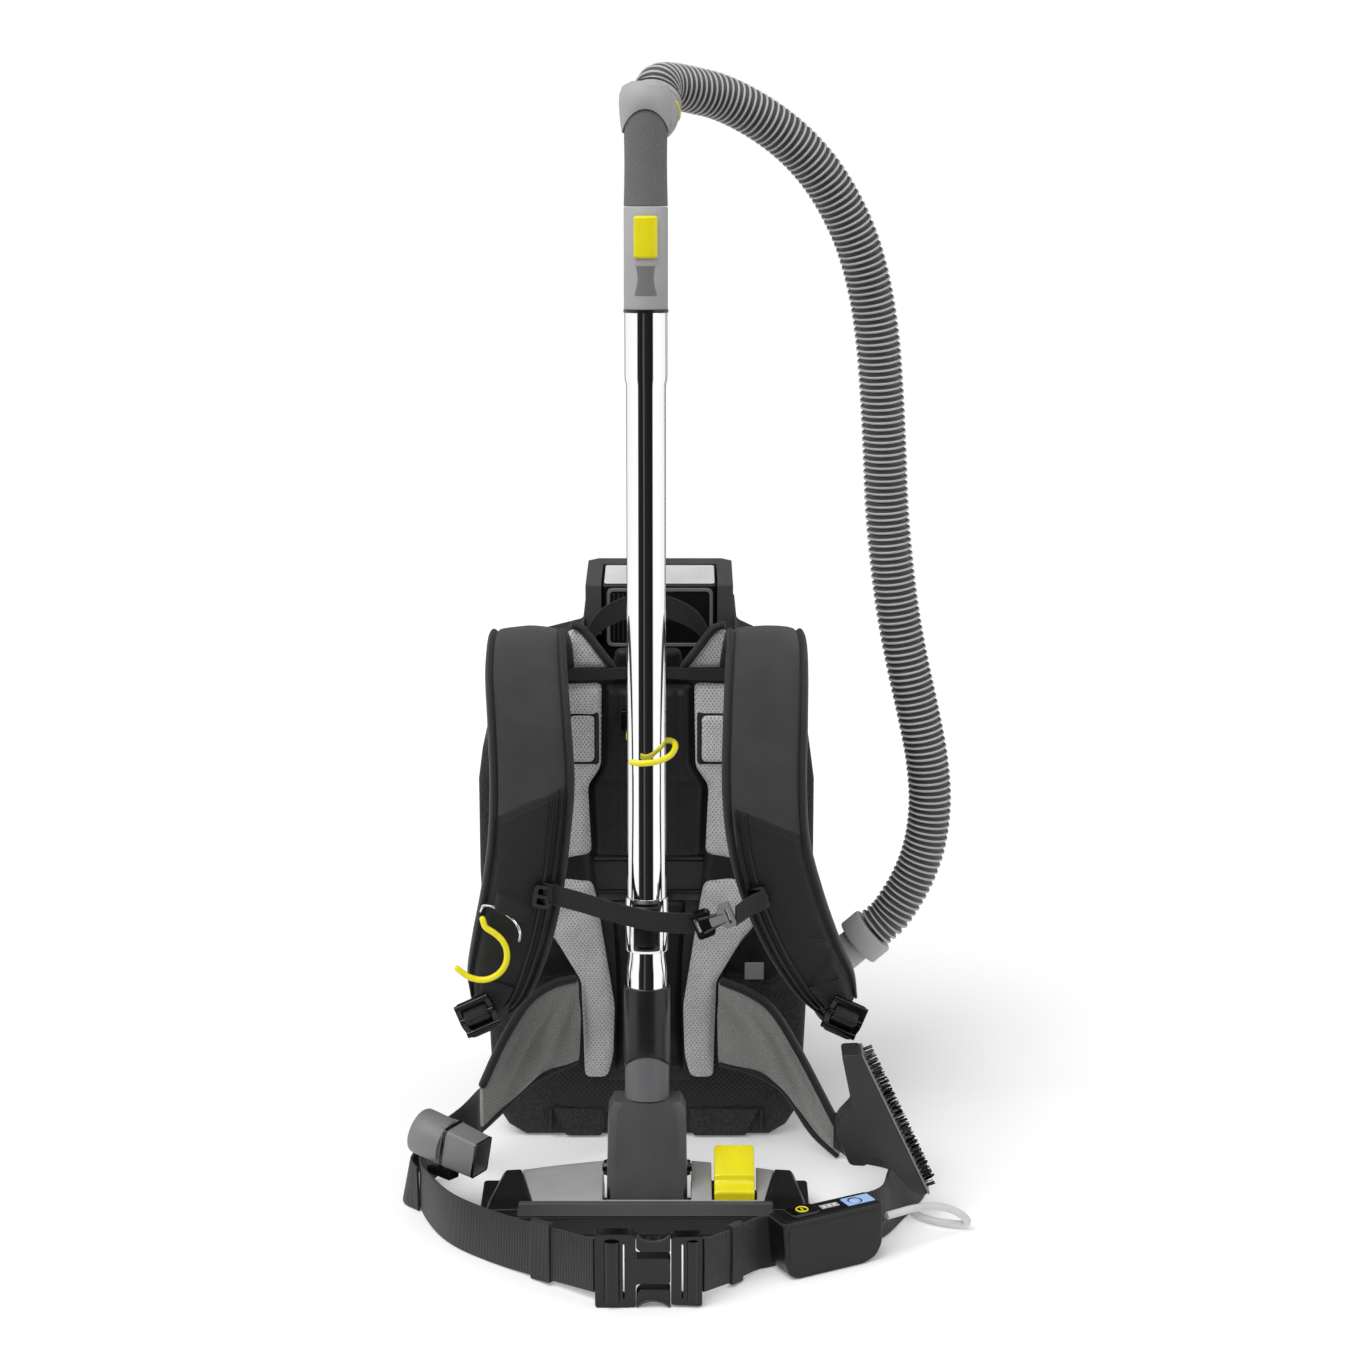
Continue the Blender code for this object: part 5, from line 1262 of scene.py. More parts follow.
def battery_details():
    """Label film, framed face and ribs of the battery, all riding on it."""
    x, top, front = BATTERY_X, 0.5315, -0.0185
    film = rounded(box_line(x - 0.0525, -0.015, x + 0.0525, 0.061), 0.004)
    slab("battery_top_film", film, top - 0.0005, top + 0.0006, LABEL, "Z", "battery", 0.0003)
    edge = rounded(box_line(x - 0.05, 0.471, x + 0.051, 0.528), 0.006)
    hole = rounded(box_line(x - 0.0468, 0.4742, x + 0.0478, 0.5248), 0.004)
    slab("battery_face_frame", [edge, hole], front - 0.0014, front + 0.001, MID, body="battery",
         bevel=0.0004)
    ribs = [box_bmesh((x - 0.044 + 0.0044 * k, front - 0.0012, 0.476),
                      (x - 0.0424 + 0.0044 * k, front + 0.001, 0.523)) for k in range(3)]
    soften(joined("battery_face_ribs", ribs, DARK, "battery", slot="black_plastic"), 0.0004)
    slab("battery_face_mark", [(x - 0.006, 0.483), (x + 0.004, 0.483), (x - 0.001, 0.4915)], front - 0.0012,
         front + 0.001, LABEL, body="battery", bevel=0.0002)
    cells = [box_bmesh((x - 0.0488 + 0.026 * k, 0.066, 0.405), (x - 0.0292 + 0.026 * k, 0.0668, 0.46))
             for k in range(4)]
    soften(joined("battery_rear_pads", cells, SATIN, "battery"), 0.0003)
    contacts = [box_bmesh((x - 0.03 + 0.01 * k, 0.0, 0.39), (x - 0.0265 + 0.01 * k, 0.014, 0.3918))
                for k in range(7)]
    joined("battery_contacts", contacts, STEEL, "battery")


# --- Hose -------------------------------------------------------------------------

HOSE_RIB = [(0.0, 0.0176), (0.3, 0.0176), (0.42, 0.02), (0.5, 0.0208), (0.68, 0.0208), (0.78, 0.02),
            (0.88, 0.0178)]


def hose():
    """The ribbed hose, from the swivel collar over the top to the elbow."""
    pitch = 0.0063
    line = route(HOSE_ROUTE, pitch)
    frames = carried_frames(line)
    rings = []
    for i in range(len(line) - 1):
        ahead = [line[min(i + k, len(line) - 1)] for k in (0, 1)]
        for share, radius in HOSE_RIB:
            point = ahead[0].lerp(ahead[1], share)
            side, up = (frames[i][n].lerp(frames[i + 1][n], share).normalized() for n in (0, 1))
            rings.append([point + side * radius * math.cos(a) + up * radius * math.sin(a)
                          for a in (2 * math.pi * k / 40 for k in range(40))])
    count = len(HOSE_RIB)
    # Faces in the valleys between the ribs take the darker copy: painted shade
    piece = made_free("hose_ribbed", ring_mesh(rings, lambda ring, side: int(ring % count in (0, 1, 5, 6))),
                      HOSE)
    piece.data.materials.append(HOSE_VALLEY_SHADE.material)
    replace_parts(piece, "hose")
    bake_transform(piece)


def made_free(name, bm, surface):
    """A piece that rides on no single body, for one that runs between two."""
    bmesh.ops.recalc_face_normals(bm, faces=bm.faces)
    mesh = bpy.data.meshes.new(name)
    bm.to_mesh(mesh)
    bm.free()
    obj = bpy.data.objects.new(name, mesh)
    bpy.context.scene.collection.objects.link(obj)
    mesh.materials.append(surface.material)
    mesh.shade_smooth()
    return obj


def hose_ends():
    place = turned_to(PORT_POINT, PORT_AXIS)
    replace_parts(lathe("hose_port_stub", [
        (0.0172, 0.075), (0.0172, 0.006), (0.0185, 0.004), (0.02, 0.003), (0.02, -0.006), (0.0182, -0.0065),
        (0.0182, -0.012), (0.015, -0.012), (0.015, 0.075)], place, LIGHT), "hose_port")
    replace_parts(lathe("hose_swivel", [(0.0228, 0.085), (0.0242, 0.0842), (0.0248, 0.0828), (0.0248, 0.0652),
                                      (0.0243, 0.0642), (0.019, 0.064), (0.0177, 0.0644), (0.0177, 0.0748),
                                      (0.0152, 0.0754), (0.0152, 0.085)], place, LIGHT, "hose_collar"),
                "hose_collar")
    slab("hose_port_plate", circle(0.0, 0.1225, 0.03, 48, 0.036), 0.153, 0.1545, SATIN, "X", bevel=0.0005)
    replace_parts(lathe("hose_cuff", [(0.0214, 0.0042), (0.0232, 0.004), (0.0241, 0.0031), (0.0241, 0.0004),
                                    (0.023, 0.0001), (0.016, 0.0001), (0.016, 0.004)],
                      turned_to(ELBOW_START + ELBOW_AXIS * 0.0329, ELBOW_AXIS), SOCKET, "hose_ring"),
                "hose_ring")


# --- Wand -------------------------------------------------------------------------

def on_tube(radius):
    """Lays (across, along) on the wand's front at a radius, with a height outwards."""
    place = on_wand()

    def lay(across, along, out):
        angle = across / radius
        reach = radius + out
        return place @ Vector((reach * math.sin(angle), -reach * math.cos(angle), along))
    return lay


def wrapped(name, outline, radius, thick, surface, body, crown=0.0016, feature=None, grid=0.0016):
    """A shallow moulding wrapped round the wand's front."""
    return pillow(name, outline, 0.0, thick, surface, crown, grid, feature, body, lay=on_tube(radius),
                  corner=0.002)


def wand():
    place = on_wand()
    arch = lambda front, h: h + (0.0125 * max(0.0, front) ** 1.6 if h < 0.12 else 0.0)
    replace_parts(lathe("wand_socket", [(0.02, 0.1838), (0.0206, 0.1832), (0.0211, 0.1815), (0.0211, 0.118),
                                      (0.0211, 0.1125), (0.0209, 0.1104), (0.0207, 0.11), (0.0204, 0.11),
                                      (0.0204, 0.142), (0.0184, 0.144), (0.0184, 0.1838)], place, SOCKET,
                      sides=96, warp=arch, angle=25), "neck_socket")
    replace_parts(lathe("wand_neck", [
        (0.015, 0.14), (0.0185, 0.139), (0.0195, 0.13), (0.02, 0.114), (0.02, 0.09), (0.0203, 0.081),
        (0.015, 0.0803)], place, NECK, "nozzle_yoke", sides=96), "swivel_neck")
    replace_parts(lathe("lower_tube_chrome", [(0.0162, 0.66), (0.0162, 0.213), (0.0166, 0.208),
                                            (0.0176, 0.2015), (0.0181, 0.1975), (0.0181, 0.13),
                                            (0.0153, 0.13), (0.0153, 0.66)], place, CHROME, sides=96),
                "lower_tube")
    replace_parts(lathe("upper_tube_chrome", [(0.0184, 0.788), (0.0188, 0.7874), (0.0188, 0.733),
                                            (0.0186, 0.729), (0.0178, 0.7258), (0.0174, 0.7225),
                                            (0.0174, 0.2441), (0.0168, 0.2435), (0.0165, 0.2441),
                                            (0.0165, 0.727), (0.0179, 0.735), (0.0179, 0.788)], place,
                      CHROME, "wand_upper", sides=96), "upper_tube")
    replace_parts(lathe("tube_collar_chrome", [(0.018, 0.2657), (0.0186, 0.2653), (0.019, 0.264),
                                             (0.019, 0.2177), (0.0187, 0.2169), (0.018, 0.2165),
                                             (0.0167, 0.2165), (0.0167, 0.2429), (0.0177, 0.2429),
                                             (0.0177, 0.2657)], place, CHROME, "wand_upper", sides=96),
                "tube_collar")

    def thumb_ribs(x, z):
        return 0.0016 * max(0.0, math.sin((z - 0.25) * 2 * math.pi / 0.0042)) if z > 0.25 else -0.0012
    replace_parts(wrapped("slide_button", box_line(-0.0112, 0.223, 0.0112, 0.2655), 0.0192, 0.0044, SATIN,
                        "tube_button", 0.0018, thumb_ribs), "tube_button")
    wrapped("tube_button_plate", box_line(-0.0126, 0.219, 0.0126, 0.2656), 0.019, 0.0006, GLOSS,
            "wand_upper", 0.0006)


def handle():
    place = on_wand()
    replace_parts(lathe("handle_sleeve", [(0.0178, 0.75), (0.0176, 0.7884), (0.0188, 0.7885),
                                        (0.0193, 0.7895), (0.0193, 0.8782), (0.0189, 0.879),
                                        (0.0142, 0.879), (0.0142, 0.75)], place, LIGHT, "wand_upper",
                      sides=96), "handle_body")
    rows = [(0.014, 0.8794), (0.0188, 0.8795)] + [(0.0193 - 0.0007 * math.sin(math.pi * k / 8),
            0.8802 + 0.0748 * k / 8) for k in range(9)]
    rows += [(0.0188, 0.96), (0.0168, 0.966), (0.012, 0.97), (0.01, 0.96)]
    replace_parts(lathe("grip_sleeve", rows, place, GRIP, "wand_upper", sides=96), "handle_grip")
    hourglass = [(-0.0105, 0.802), (0.0105, 0.802), (0.0078, 0.811), (0.007, 0.818), (0.0088, 0.83),
                 (-0.0088, 0.83), (-0.007, 0.818), (-0.0078, 0.811)]
    wrapped("air_opening", hourglass, 0.019, 0.0002, MID, "wand_upper", 0.0004)
    lathe("handle_seal", [(0.019, 0.7872), (0.0197, 0.7875), (0.0197, 0.7902), (0.019, 0.7905)], place,
          SOCKET, "wand_upper", sides=96)
    wrapped("slider_track", box_line(-0.0108, 0.828, 0.0108, 0.876), 0.0193, 0.0006, LIGHT, "wand_upper",
            0.0006)

    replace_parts(wrapped("air_slider_grip", box_line(-0.0102, 0.8345, 0.0102, 0.8715), 0.0197, 0.004, YELLOW,
                        "air_slider", 0.002, grid=0.001), "air_slider")


def elbow():
    """The light collar that turns the grip back to the hose, with a yellow band at its end."""
    place = turned_to(ELBOW_START, ELBOW_AXIS)
    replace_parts(lathe("elbow_shell", [(0.0002, 0.0), (0.018, 0.0002), (0.0206, 0.0014), (0.0226, 0.0046),
                                      (0.0238, 0.009), (0.0243, 0.015), (0.0246, 0.0232), (0.024, 0.0236),
                                      (0.024, 0.0262), (0.0247, 0.0266), (0.0247, 0.0318), (0.0243, 0.0326),
                                      (0.0168, 0.0326), (0.0168, 0.012), (0.0002, 0.011)], place, LIGHT,
                      "wand_upper", sides=96, loop=False), "handle_elbow")
    for name, side in (("right", 0.0), ("left", 180.0)):
        points = [place @ Vector((0.0243 * math.cos(a), 0.0243 * math.sin(a), 0.02))
                  for a in (math.radians(side + 5.0 * k) for k in range(-5, 6))]
        tube(f"elbow_sliver_{name}", points, 0.0014, YELLOW, "wand_upper", 0.0012, 10)
    arch = lambda front, h: h + 0.02 * max(0.0, front) ** 1.3 * max(0.0, 1 - (h - 0.9426) / 0.03)
    lathe("elbow_skirt", [(0.0196, 0.943), (0.0206, 0.9426), (0.0216, 0.948), (0.0226, 0.957),
                          (0.0232, 0.968), (0.0228, 0.976), (0.02, 0.983), (0.012, 0.987), (0.01, 0.97),
                          (0.0196, 0.95)], on_wand(), LIGHT, "wand_upper", sides=96, warp=arch)


# --- Floor nozzle -----------------------------------------------------------------

def nozzle_yoke():
    """The fork seen from the front: a smooth plate with slanted side facets and pivot knobs."""
    sections = []
    top = WAND_FOOT + WAND_AXIS * 0.08
    for k in range(25):
        t = k / 24
        if t < 0.6:
            angle = math.radians(178 + (1 - t / 0.6) * 92)
            y = TILT_POINT.y + 0.0262 * math.cos(angle)
            z = TILT_POINT.z + 0.0262 * math.sin(angle)
            sections.append((y, z, 0.0365, 0.03))
        else:
            share = (t - 0.6) / 0.4
            low = Vector((TILT_POINT.y + 0.0262 * math.cos(math.radians(178)), TILT_POINT.z + 0.001))
            high = Vector((top.y - 0.019, top.z + 0.002))
            point = low.lerp(high, share)
            corner = max(0.0, (share - 0.86) / 0.14)
            half = 0.0365 - 0.0016 * share - 0.0052 * (1 - math.sqrt(max(0.0, 1 - corner * corner)))
            sections.append((point.x, point.y, half, half - 0.0065 - 0.0015 * share))
    rings = []
    for y, z, half, inner in sections:
        drop = smooth_step(z, 0.03, 0.06)
        back = min(0.022, -0.262 - y) if z < 0.03 else 0.034 - 0.004 * drop
        x = HARNESS_X
        rings.append([(x - half, y + max(back, 0.004), z), (x - half, y + 0.0062, z),
                      (x - half + 0.0008, y + 0.004, z), (x - inner - 0.0004, y + 0.0004, z),
                      (x - inner + 0.0014, y, z), (x + inner - 0.0014, y, z),
                      (x + inner + 0.0004, y + 0.0004, z), (x + half - 0.0008, y + 0.004, z),
                      (x + half, y + 0.0062, z), (x + half, y + max(back, 0.004), z)])
    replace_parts(from_bmesh("yoke_shell", ring_mesh(rings), YOKE, "nozzle_yoke", 28.0), "nozzle_yoke")
    barrel = circle(TILT_POINT.y, TILT_POINT.z, 0.0235, 32)
    slab("yoke_barrel", barrel, HARNESS_X - 0.0355, HARNESS_X + 0.0355, SATIN, "X", "nozzle_yoke", 0.001,
         slot="dark_plastic")
    knobs = []
    for sign in (-1, 1):
        x = HARNESS_X + sign * 0.0362
        knobs.append(rod_bmesh((x, -0.289, 0.052), (x + sign * 0.0032, -0.289, 0.052), 0.0075, 28, 0.0066))
        knobs.append(rod_bmesh((x, -0.289, 0.052), (x + sign * 0.0044, -0.289, 0.052), 0.0036, 20))
    joined("yoke_knobs", knobs, GLOSS, "nozzle_yoke")


def nozzle_head():
    """Arched cover, dark front lip, black base with raised ends, wheels and brush strips."""
    def cover_top(x, v):
        rear = 0.045 - 0.0115 * abs((x - HARNESS_X) / 0.115) ** 1.5
        return rear - (rear - 0.0334) * v ** 1.5

    rear, front = -0.248, -0.3228
    left = lambda v: -0.1136 + 0.0133 * v
    right = lambda v: 0.1182 - 0.011 * v
    spans = (("cover_left", left, lambda v: HARNESS_X - 0.04), ("cover_middle", lambda v: HARNESS_X + 0.04,
            lambda v: 0.0605), ("cover_right", lambda v: 0.1015, right))
    for name, start, end in spans:
        rings = []
        steps = max(8, round((end(0) - start(0)) / 0.003))
        for i in range(steps + 1):
            ring = []
            for k in range(13):
                v = k / 12
                x = start(v) + (end(v) - start(v)) * i / steps
                ring.append((x, rear + (front - rear) * v, cover_top(x, v) - 0.0016 * (k in (0, 12))))
            x0, x1 = (start(v) + (end(v) - start(v)) * i / steps for v in (0.0, 1.0))
            rings.append([(x0, rear, 0.02)] + ring + [(x1, front, 0.02)])
        piece = from_bmesh(name, ring_mesh(rings), COVER, "nozzle_head", 30.0)
        soften(piece, 0.0008, 2, 40.0)
        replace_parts(piece, "nozzle_cover")
    for name, x0, x1 in (("bridge", HARNESS_X + 0.038, 0.104), ("front_band", -0.1, HARNESS_X + 0.038)):
        slab(f"cover_{name}", box_line(x0, 0.02, x1, 0.0334), front, front + 0.0046, COVER,
             body="nozzle_head", bevel=0.0006)
    lip = rounded([(-0.115, 0.0219), (0.117, 0.0219), (0.115, 0.0345), (-0.113, 0.0345)], 0.002)
    slab("nozzle_lip_band", lip, -0.33, front - 0.0002, LIP, body="nozzle_head", bevel=0.0012)
    for name, sign, edges in (("left", -1, (left, -0.132, -0.145)), ("right", 1, (right, 0.137, 0.148))):
        rings = []
        inner, outer_rear, outer_front = edges
        for k in range(11):
            v = k / 10
            y = rear + (front - 0.006 - rear) * v
            x0, x1 = inner(v) + sign * 0.0004, outer_rear + (outer_front - outer_rear) * v
            high = 0.0318 - 0.004 * smooth_step(v, 0.75, 1.0)
            rings.append([(x0, y, 0.015), (x0, y, high), (x0 + sign * 0.0015, y, high + 0.0008),
                          (x1 - sign * 0.004, y, high), (x1 - sign * 0.001, y, high - 0.0035),
                          (x1 + sign * 0.0012, y, 0.019), (x1 + sign * 0.0012, y, 0.015)])
        cap = from_bmesh(f"nozzle_end_{name}", ring_mesh(rings), SATIN, "nozzle_head", 30.0)
        soften(cap, 0.001, 3, 40.0)
        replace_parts(cap, "nozzle_base")
    plan = [(-0.149, -0.33), (0.149, -0.33), (0.149, -0.247), (0.113, -0.247), (0.113, -0.273),
            (0.097, -0.273), (0.097, -0.247), (0.0415, -0.247), (0.0415, -0.318), (-0.0375, -0.318),
            (-0.0375, -0.247), (-0.097, -0.247), (-0.097, -0.273), (-0.113, -0.273), (-0.113, -0.247),
            (-0.149, -0.247)]
    slot_line = box_line(-0.128, -0.3262, 0.128, -0.3198)
    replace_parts(slab("nozzle_tray", [rounded(plan, 0.004)], 0.0034, 0.0215, SATIN, "Z", "nozzle_head",
                     0.002, 3), "nozzle_base")
    slab("nozzle_sole", [rounded(plan, 0.004), slot_line], 0.0008, 0.0032, DARK, "Z", "nozzle_head", 0.0008)
    bristles = []
    for row, y in enumerate((-0.3278, -0.3182)):
        for k in range(84):
            x = -0.124 + 0.248 * k / 83
            if abs(x - HARNESS_X) > 0.044 or row == 0:
                bristles.append(rod_bmesh((x, y, 0.0105), (x + RANDOM.uniform(-0.0006, 0.0006), y, 0.0004),
                                          0.0009, 6))
    joined("nozzle_bristles", bristles, SATIN, "nozzle_head", 60.0, slot="black_fabric")
    place = Matrix.Translation((0, -0.262, 0.0088)) @ Matrix.Rotation(math.pi / 2, 4, "Y")
    wheel = []
    for side in (-1, 1):
        x = side * 0.105
        wheel += [(0.0015, x - 0.006), (0.006, x - 0.006), (0.0078, x - 0.0056), (0.0085, x - 0.0044),
                  (0.0085, x + 0.0044), (0.0078, x + 0.0056), (0.006, x + 0.006), (0.0015, x + 0.006)]
    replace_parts(lathe("rear_wheels", [(0.0, wheel[0][1])] + wheel + [(0.0, wheel[-1][1])], place,
                      GRIP, "nozzle_wheels", sides=40, loop=False), "nozzle_wheels")


def nozzle_pedal():
    rings = []
    for i in range(13):
        share = i / 12
        x = 0.0628 + 0.0364 * share
        edge = 1 - (2 * share - 1) ** 8
        line = [(-0.262, 0.05), (-0.262, 0.061), (-0.264, 0.0635), (-0.276, 0.06), (-0.29, 0.0535),
                (-0.296, 0.05), (-0.2985, 0.049), (-0.3, 0.044), (-0.303, 0.0415), (-0.311, 0.0385),
                (-0.3122, 0.037), (-0.3122, 0.0265), (-0.3, 0.024), (-0.276, 0.024)]
        rings.append([(x, y, z - 0.001 * (1 - edge) * (z > 0.036)) for y, z in line])
    pedal = from_bmesh("pedal_lever", ring_mesh(rings), YELLOW, "nozzle_pedal", 28.0)
    soften(pedal, 0.001, 3, 28.0)
    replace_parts(pedal, "nozzle_pedal")


# --- Control box ------------------------------------------------------------------

def control_box():
    """The box on the belt: bevelled shell, key with a yellow sign, level bars and a lit panel."""
    length, depth, height = 0.102, 0.03, 0.055
    line = rounded([(0.0, height), (length, height), (length, 0.016), (length - 0.006, 0.005),
                    (length - 0.018, 0.0), (0.016, 0.0), (0.008, 0.004), (0.004, 0.014)], 0.004)
    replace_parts(slab("control_shell", line, 0.0006, depth, SATIN, matrix=BOX_PLACE, bevel=0.0024,
                     segments=4, slot="dark_plastic"), "control_box")
    face = rounded([(0.005, height - 0.005), (length - 0.005, height - 0.005), (length - 0.005, 0.017),
                    (length - 0.02, 0.005), (0.018, 0.005), (0.007, 0.016)], 0.005)
    slab("control_face", face, -0.0002, 0.0012, SATIN, matrix=BOX_PLACE, bevel=0.0006, slot="dark_plastic")
    panel = rounded(box_line(0.0055, 0.0035, length - 0.0035, depth - 0.0035), 0.004)
    slab("control_top", panel, height - 0.0006, height + 0.0006, SATIN, "Z", matrix=BOX_PLACE, bevel=0.0004)
    key = rounded(box_line(0.013, 0.0055, 0.041, depth - 0.0055), 0.004)
    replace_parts(slab("power_key", key, height - 0.003, height + 0.0036, GLOSS, "Z", "power_button", 0.0012,
                     3, matrix=BOX_PLACE), "power_button")
    top = height + 0.0038
    ring = [BOX_PLACE @ Vector((0.027 + 0.0052 * math.cos(a), 0.015 + 0.0052 * math.sin(a), top))
            for a in (2 * math.pi * k / 24 for k in range(25))]
    tube("power_sign_ring", ring, 0.0007, YELLOW, "power_button", 0.001, 10, False)
    bar = [BOX_PLACE @ Vector((0.027, 0.015 + y, top)) for y in (-0.003, 0.0, 0.003)]
    tube("power_sign_bar", bar, 0.0007, YELLOW, "power_button", 0.001, 10)
    frame_line = box_line(0.047, 0.013, 0.0645, 0.02)
    inside_line = box_line(0.0476, 0.0136, 0.0639, 0.0194)
    slab("level_frame", [frame_line, inside_line], height, height + 0.0009, INK, "Z", matrix=BOX_PLACE,
         bevel=0.0001)
    for k in range(3):
        x = 0.0485 + 0.0052 * k
        slab(f"level_bar_{k}", box_line(x, 0.0144, x + 0.004, 0.0186), height,
             height + 0.0009, INK, "Z", matrix=BOX_PLACE, bevel=0.0001)
    border = rounded(box_line(0.069, 0.006, 0.099, 0.024), 0.002)
    window = circle(0.081, 0.015, 0.0068, 32)
    slab("lit_panel_border", [border, window], height, height + 0.0008, NAVY, "Z", matrix=BOX_PLACE,
         bevel=0.0002)
    blue = rounded(box_line(0.0702, 0.0072, 0.0978, 0.0228), 0.0016)
    slab("lit_panel", [blue, window], height + 0.0003, height + 0.0011, BLUE, "Z", matrix=BOX_PLACE,
         bevel=0.0002)
    place = BOX_PLACE @ Matrix.Translation((0.081, 0.015, height))
    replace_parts(lathe("mode_key", [(0.0, 0.0012), (0.004, 0.0011), (0.0058, 0.0004), (0.0063, -0.001),
                                   (0.0063, -0.0034), (0.0, -0.0034)], place, BLUE, "mode_button",
                      sides=40, loop=False), "mode_button")
    along = (BOX_PLACE.to_3x3() @ Vector((1, 0, 0))).normalized()
    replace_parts(lathe("cable_boot", [(0.0066, 0.0), (0.0066, 0.002), (0.0058, 0.0026), (0.006, 0.0034),
                                     (0.0052, 0.004), (0.0053, 0.005), (0.0046, 0.006), (0.003, 0.0062),
                                     (0.003, 0.0)],
                      turned_to(BOX_PLACE @ Vector((length + 0.0002, 0.012, 0.034)), along), GLOSS,
                      sides=32), "cable_gland")


def control_cable():
    line = route(CABLE_ROUTE, 0.003)
    cable = tube("cable_sheath_loop", CABLE_ROUTE, 0.0035, SHEATH, spacing=0.002, sides=20, taper=False)
    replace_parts(cable, "control_cable")


# --- Hooks and stowed tools -------------------------------------------------------

def hooks():
    wand_route = [(-0.012, -0.115, 0.424), (-0.013, -0.14, 0.425), (-0.015, -0.175, 0.427),
                  (-0.012, -0.2, 0.43), (0.002, -0.2105, 0.432), (0.016, -0.2145, 0.434),
                  (0.0255, -0.2265, 0.436), (0.0275, -0.243, 0.435), (0.0225, -0.259, 0.432),
                  (0.0105, -0.267, 0.429), (-0.004, -0.2685, 0.428), (-0.0135, -0.2665, 0.429)]
    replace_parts(tube("wand_hook_bar", wand_route, 0.00275, YELLOW, spacing=0.0022), "wand_hook")
    hook_route = [(-0.146, 0.284), (-0.143, 0.274), (-0.135, 0.268), (-0.128, 0.261), (-0.124, 0.251),
                  (-0.125, 0.239), (-0.132, 0.229), (-0.144, 0.2235), (-0.158, 0.226), (-0.171, 0.236)]
    points = [(x, -0.264, z) for x, z in hook_route]
    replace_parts(tube("accessory_hook_wire", points, 0.0029, YELLOW, "accessory_hook", 0.0022),
                "accessory_hook")
    slab("hook_base", rounded(box_line(-0.024, 0.414, 0.0, 0.434), 0.003), -0.1175, -0.112, GLOSS)


def crevice_tool():
    """A round socket with an oval inset, a dark seam and a rectangular snout with a dark mouth."""
    start, end = Vector((-0.205, -0.265, 0.0785)), Vector((-0.1473, -0.3, 0.0662))
    length = (end - start).length
    place = turned_to(start, end - start)
    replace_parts(lathe("crevice_socket", [
        (0.0168, 0.0), (0.0206, 0.0002), (0.0214, 0.0016), (0.0215, 0.01), (0.021, 0.03), (0.0204, 0.032),
        (0.01, 0.032), (0.01, 0.027), (0.0165, 0.0262)], place, MID, sides=72), "crevice_tool")
    rings = []
    for z, w, h, r in ((0.027, 0.016, 0.019, 0.009), (0.033, 0.015, 0.019, 0.006),
                       (0.04, 0.0138, 0.0184, 0.004), (0.056, 0.0128, 0.0176, 0.003),
                       (length, 0.0125, 0.0172, 0.003)):
        line = rounded(box_line(-w, -h, w, h), r, 5)
        rings.append([place @ Vector((x, y, z)) for x, y in line])
    inner = []
    for z, w, h in ((length, 0.0108, 0.0155), (length - 0.012, 0.01, 0.0146)):
        line = rounded(box_line(-w, -h, w, h), 0.002, 5)
        inner.append([place @ Vector((x, y, z)) for x, y in line])
    from_bmesh("crevice_snout", ring_mesh(rings + inner), MID, "root", 32.0)
    for name, z0, z1, across, up, corner in (
            ("crevice_seam", 0.033, 0.0362, 0.015, 0.0194, 0.004),
            ("crevice_mouth_rim", length - 0.0016, length + 0.0003, 0.0127, 0.0174, 0.003)):
        outer = rounded(box_line(-across, -up, across, up), corner, 5)
        hole = rounded(box_line(-0.011, -0.0157, 0.011, 0.0157), 0.002, 5)
        slab(name, [outer, hole], z0, z1, GLOSS, "Z", bevel=0.0003, matrix=place)
    clip = [(-0.015, 0.042), (0.015, 0.042), (0.015, 0.056), (0.012, 0.061), (-0.012, 0.061),
            (-0.015, 0.056)]
    slab("tool_clip", rounded(clip, 0.002), -0.006, 0.006, SATIN, bevel=0.001,
         matrix=Matrix.Translation((-0.184, -0.283, 0.0)) @ Matrix.Rotation(math.radians(-42.0), 4, "Z"))


def upholstery_tool():
    """A brush nozzle: wedge body with a light edge, two rows of tufts and a round neck."""
    line = rounded([(0.1765, 0.166), (0.1945, 0.1668), (0.257, 0.031), (0.244, 0.032), (0.217, 0.064),
                    (0.206, 0.07), (0.2, 0.059), (0.185, 0.06), (0.173, 0.09), (0.1745, 0.101),
                    (0.1868, 0.115)], 0.004)
    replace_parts(slab("upholstery_body", line, -0.3036, -0.2724, DARK, bevel=0.0022, segments=3),
                "upholstery_tool")
    top, low = Vector((0.1945, 0.0, 0.1655)), Vector((0.2565, 0.0, 0.032))
    along = (low - top).normalized()
    out = Vector((-along.z, 0, along.x))
    edge = [(top.x, top.z), (low.x, low.z), (low.x + out.x * 0.0016, low.z + out.z * 0.0016),
            (top.x + out.x * 0.0016, top.z + out.z * 0.0016)]
    slab("upholstery_edge", edge, -0.3045, -0.2715, MID, bevel=0.0004)
    tufts = []
    for row, y in enumerate((-0.299, -0.293, -0.283, -0.277)):
        for k in range(31):
            base = top.lerp(low, (k + 0.5 + 0.5 * (row % 2)) / 32)
            for _ in range(5):
                turn = RANDOM.uniform(0, 6.283)
                spot = base + Vector((0, y + 0.0011 * math.cos(turn), 0)) + along * 0.0011 * math.sin(turn)
                tip = spot + out * RANDOM.uniform(0.0085, 0.01) + along * RANDOM.uniform(-0.0008, 0.0008)
                tip.y += RANDOM.uniform(-0.0008, 0.0008)
                tufts.append(rod_bmesh(spot, tip, 0.00055, 5, 0.00035))
    joined("upholstery_tufts", tufts, GLOSS, slot="black_fabric", angle=60.0)
    lathe("upholstery_neck", [(0.0, -0.015), (0.012, -0.015), (0.0148, -0.013), (0.015, 0.006),
                              (0.0136, 0.008), (0.0122, 0.008), (0.0122, -0.01), (0.0, -0.01)],
          turned_to(Vector((0.193, -0.288, 0.076)), Vector((0.3, 0.0, -0.95))), DARK, sides=48, loop=False)


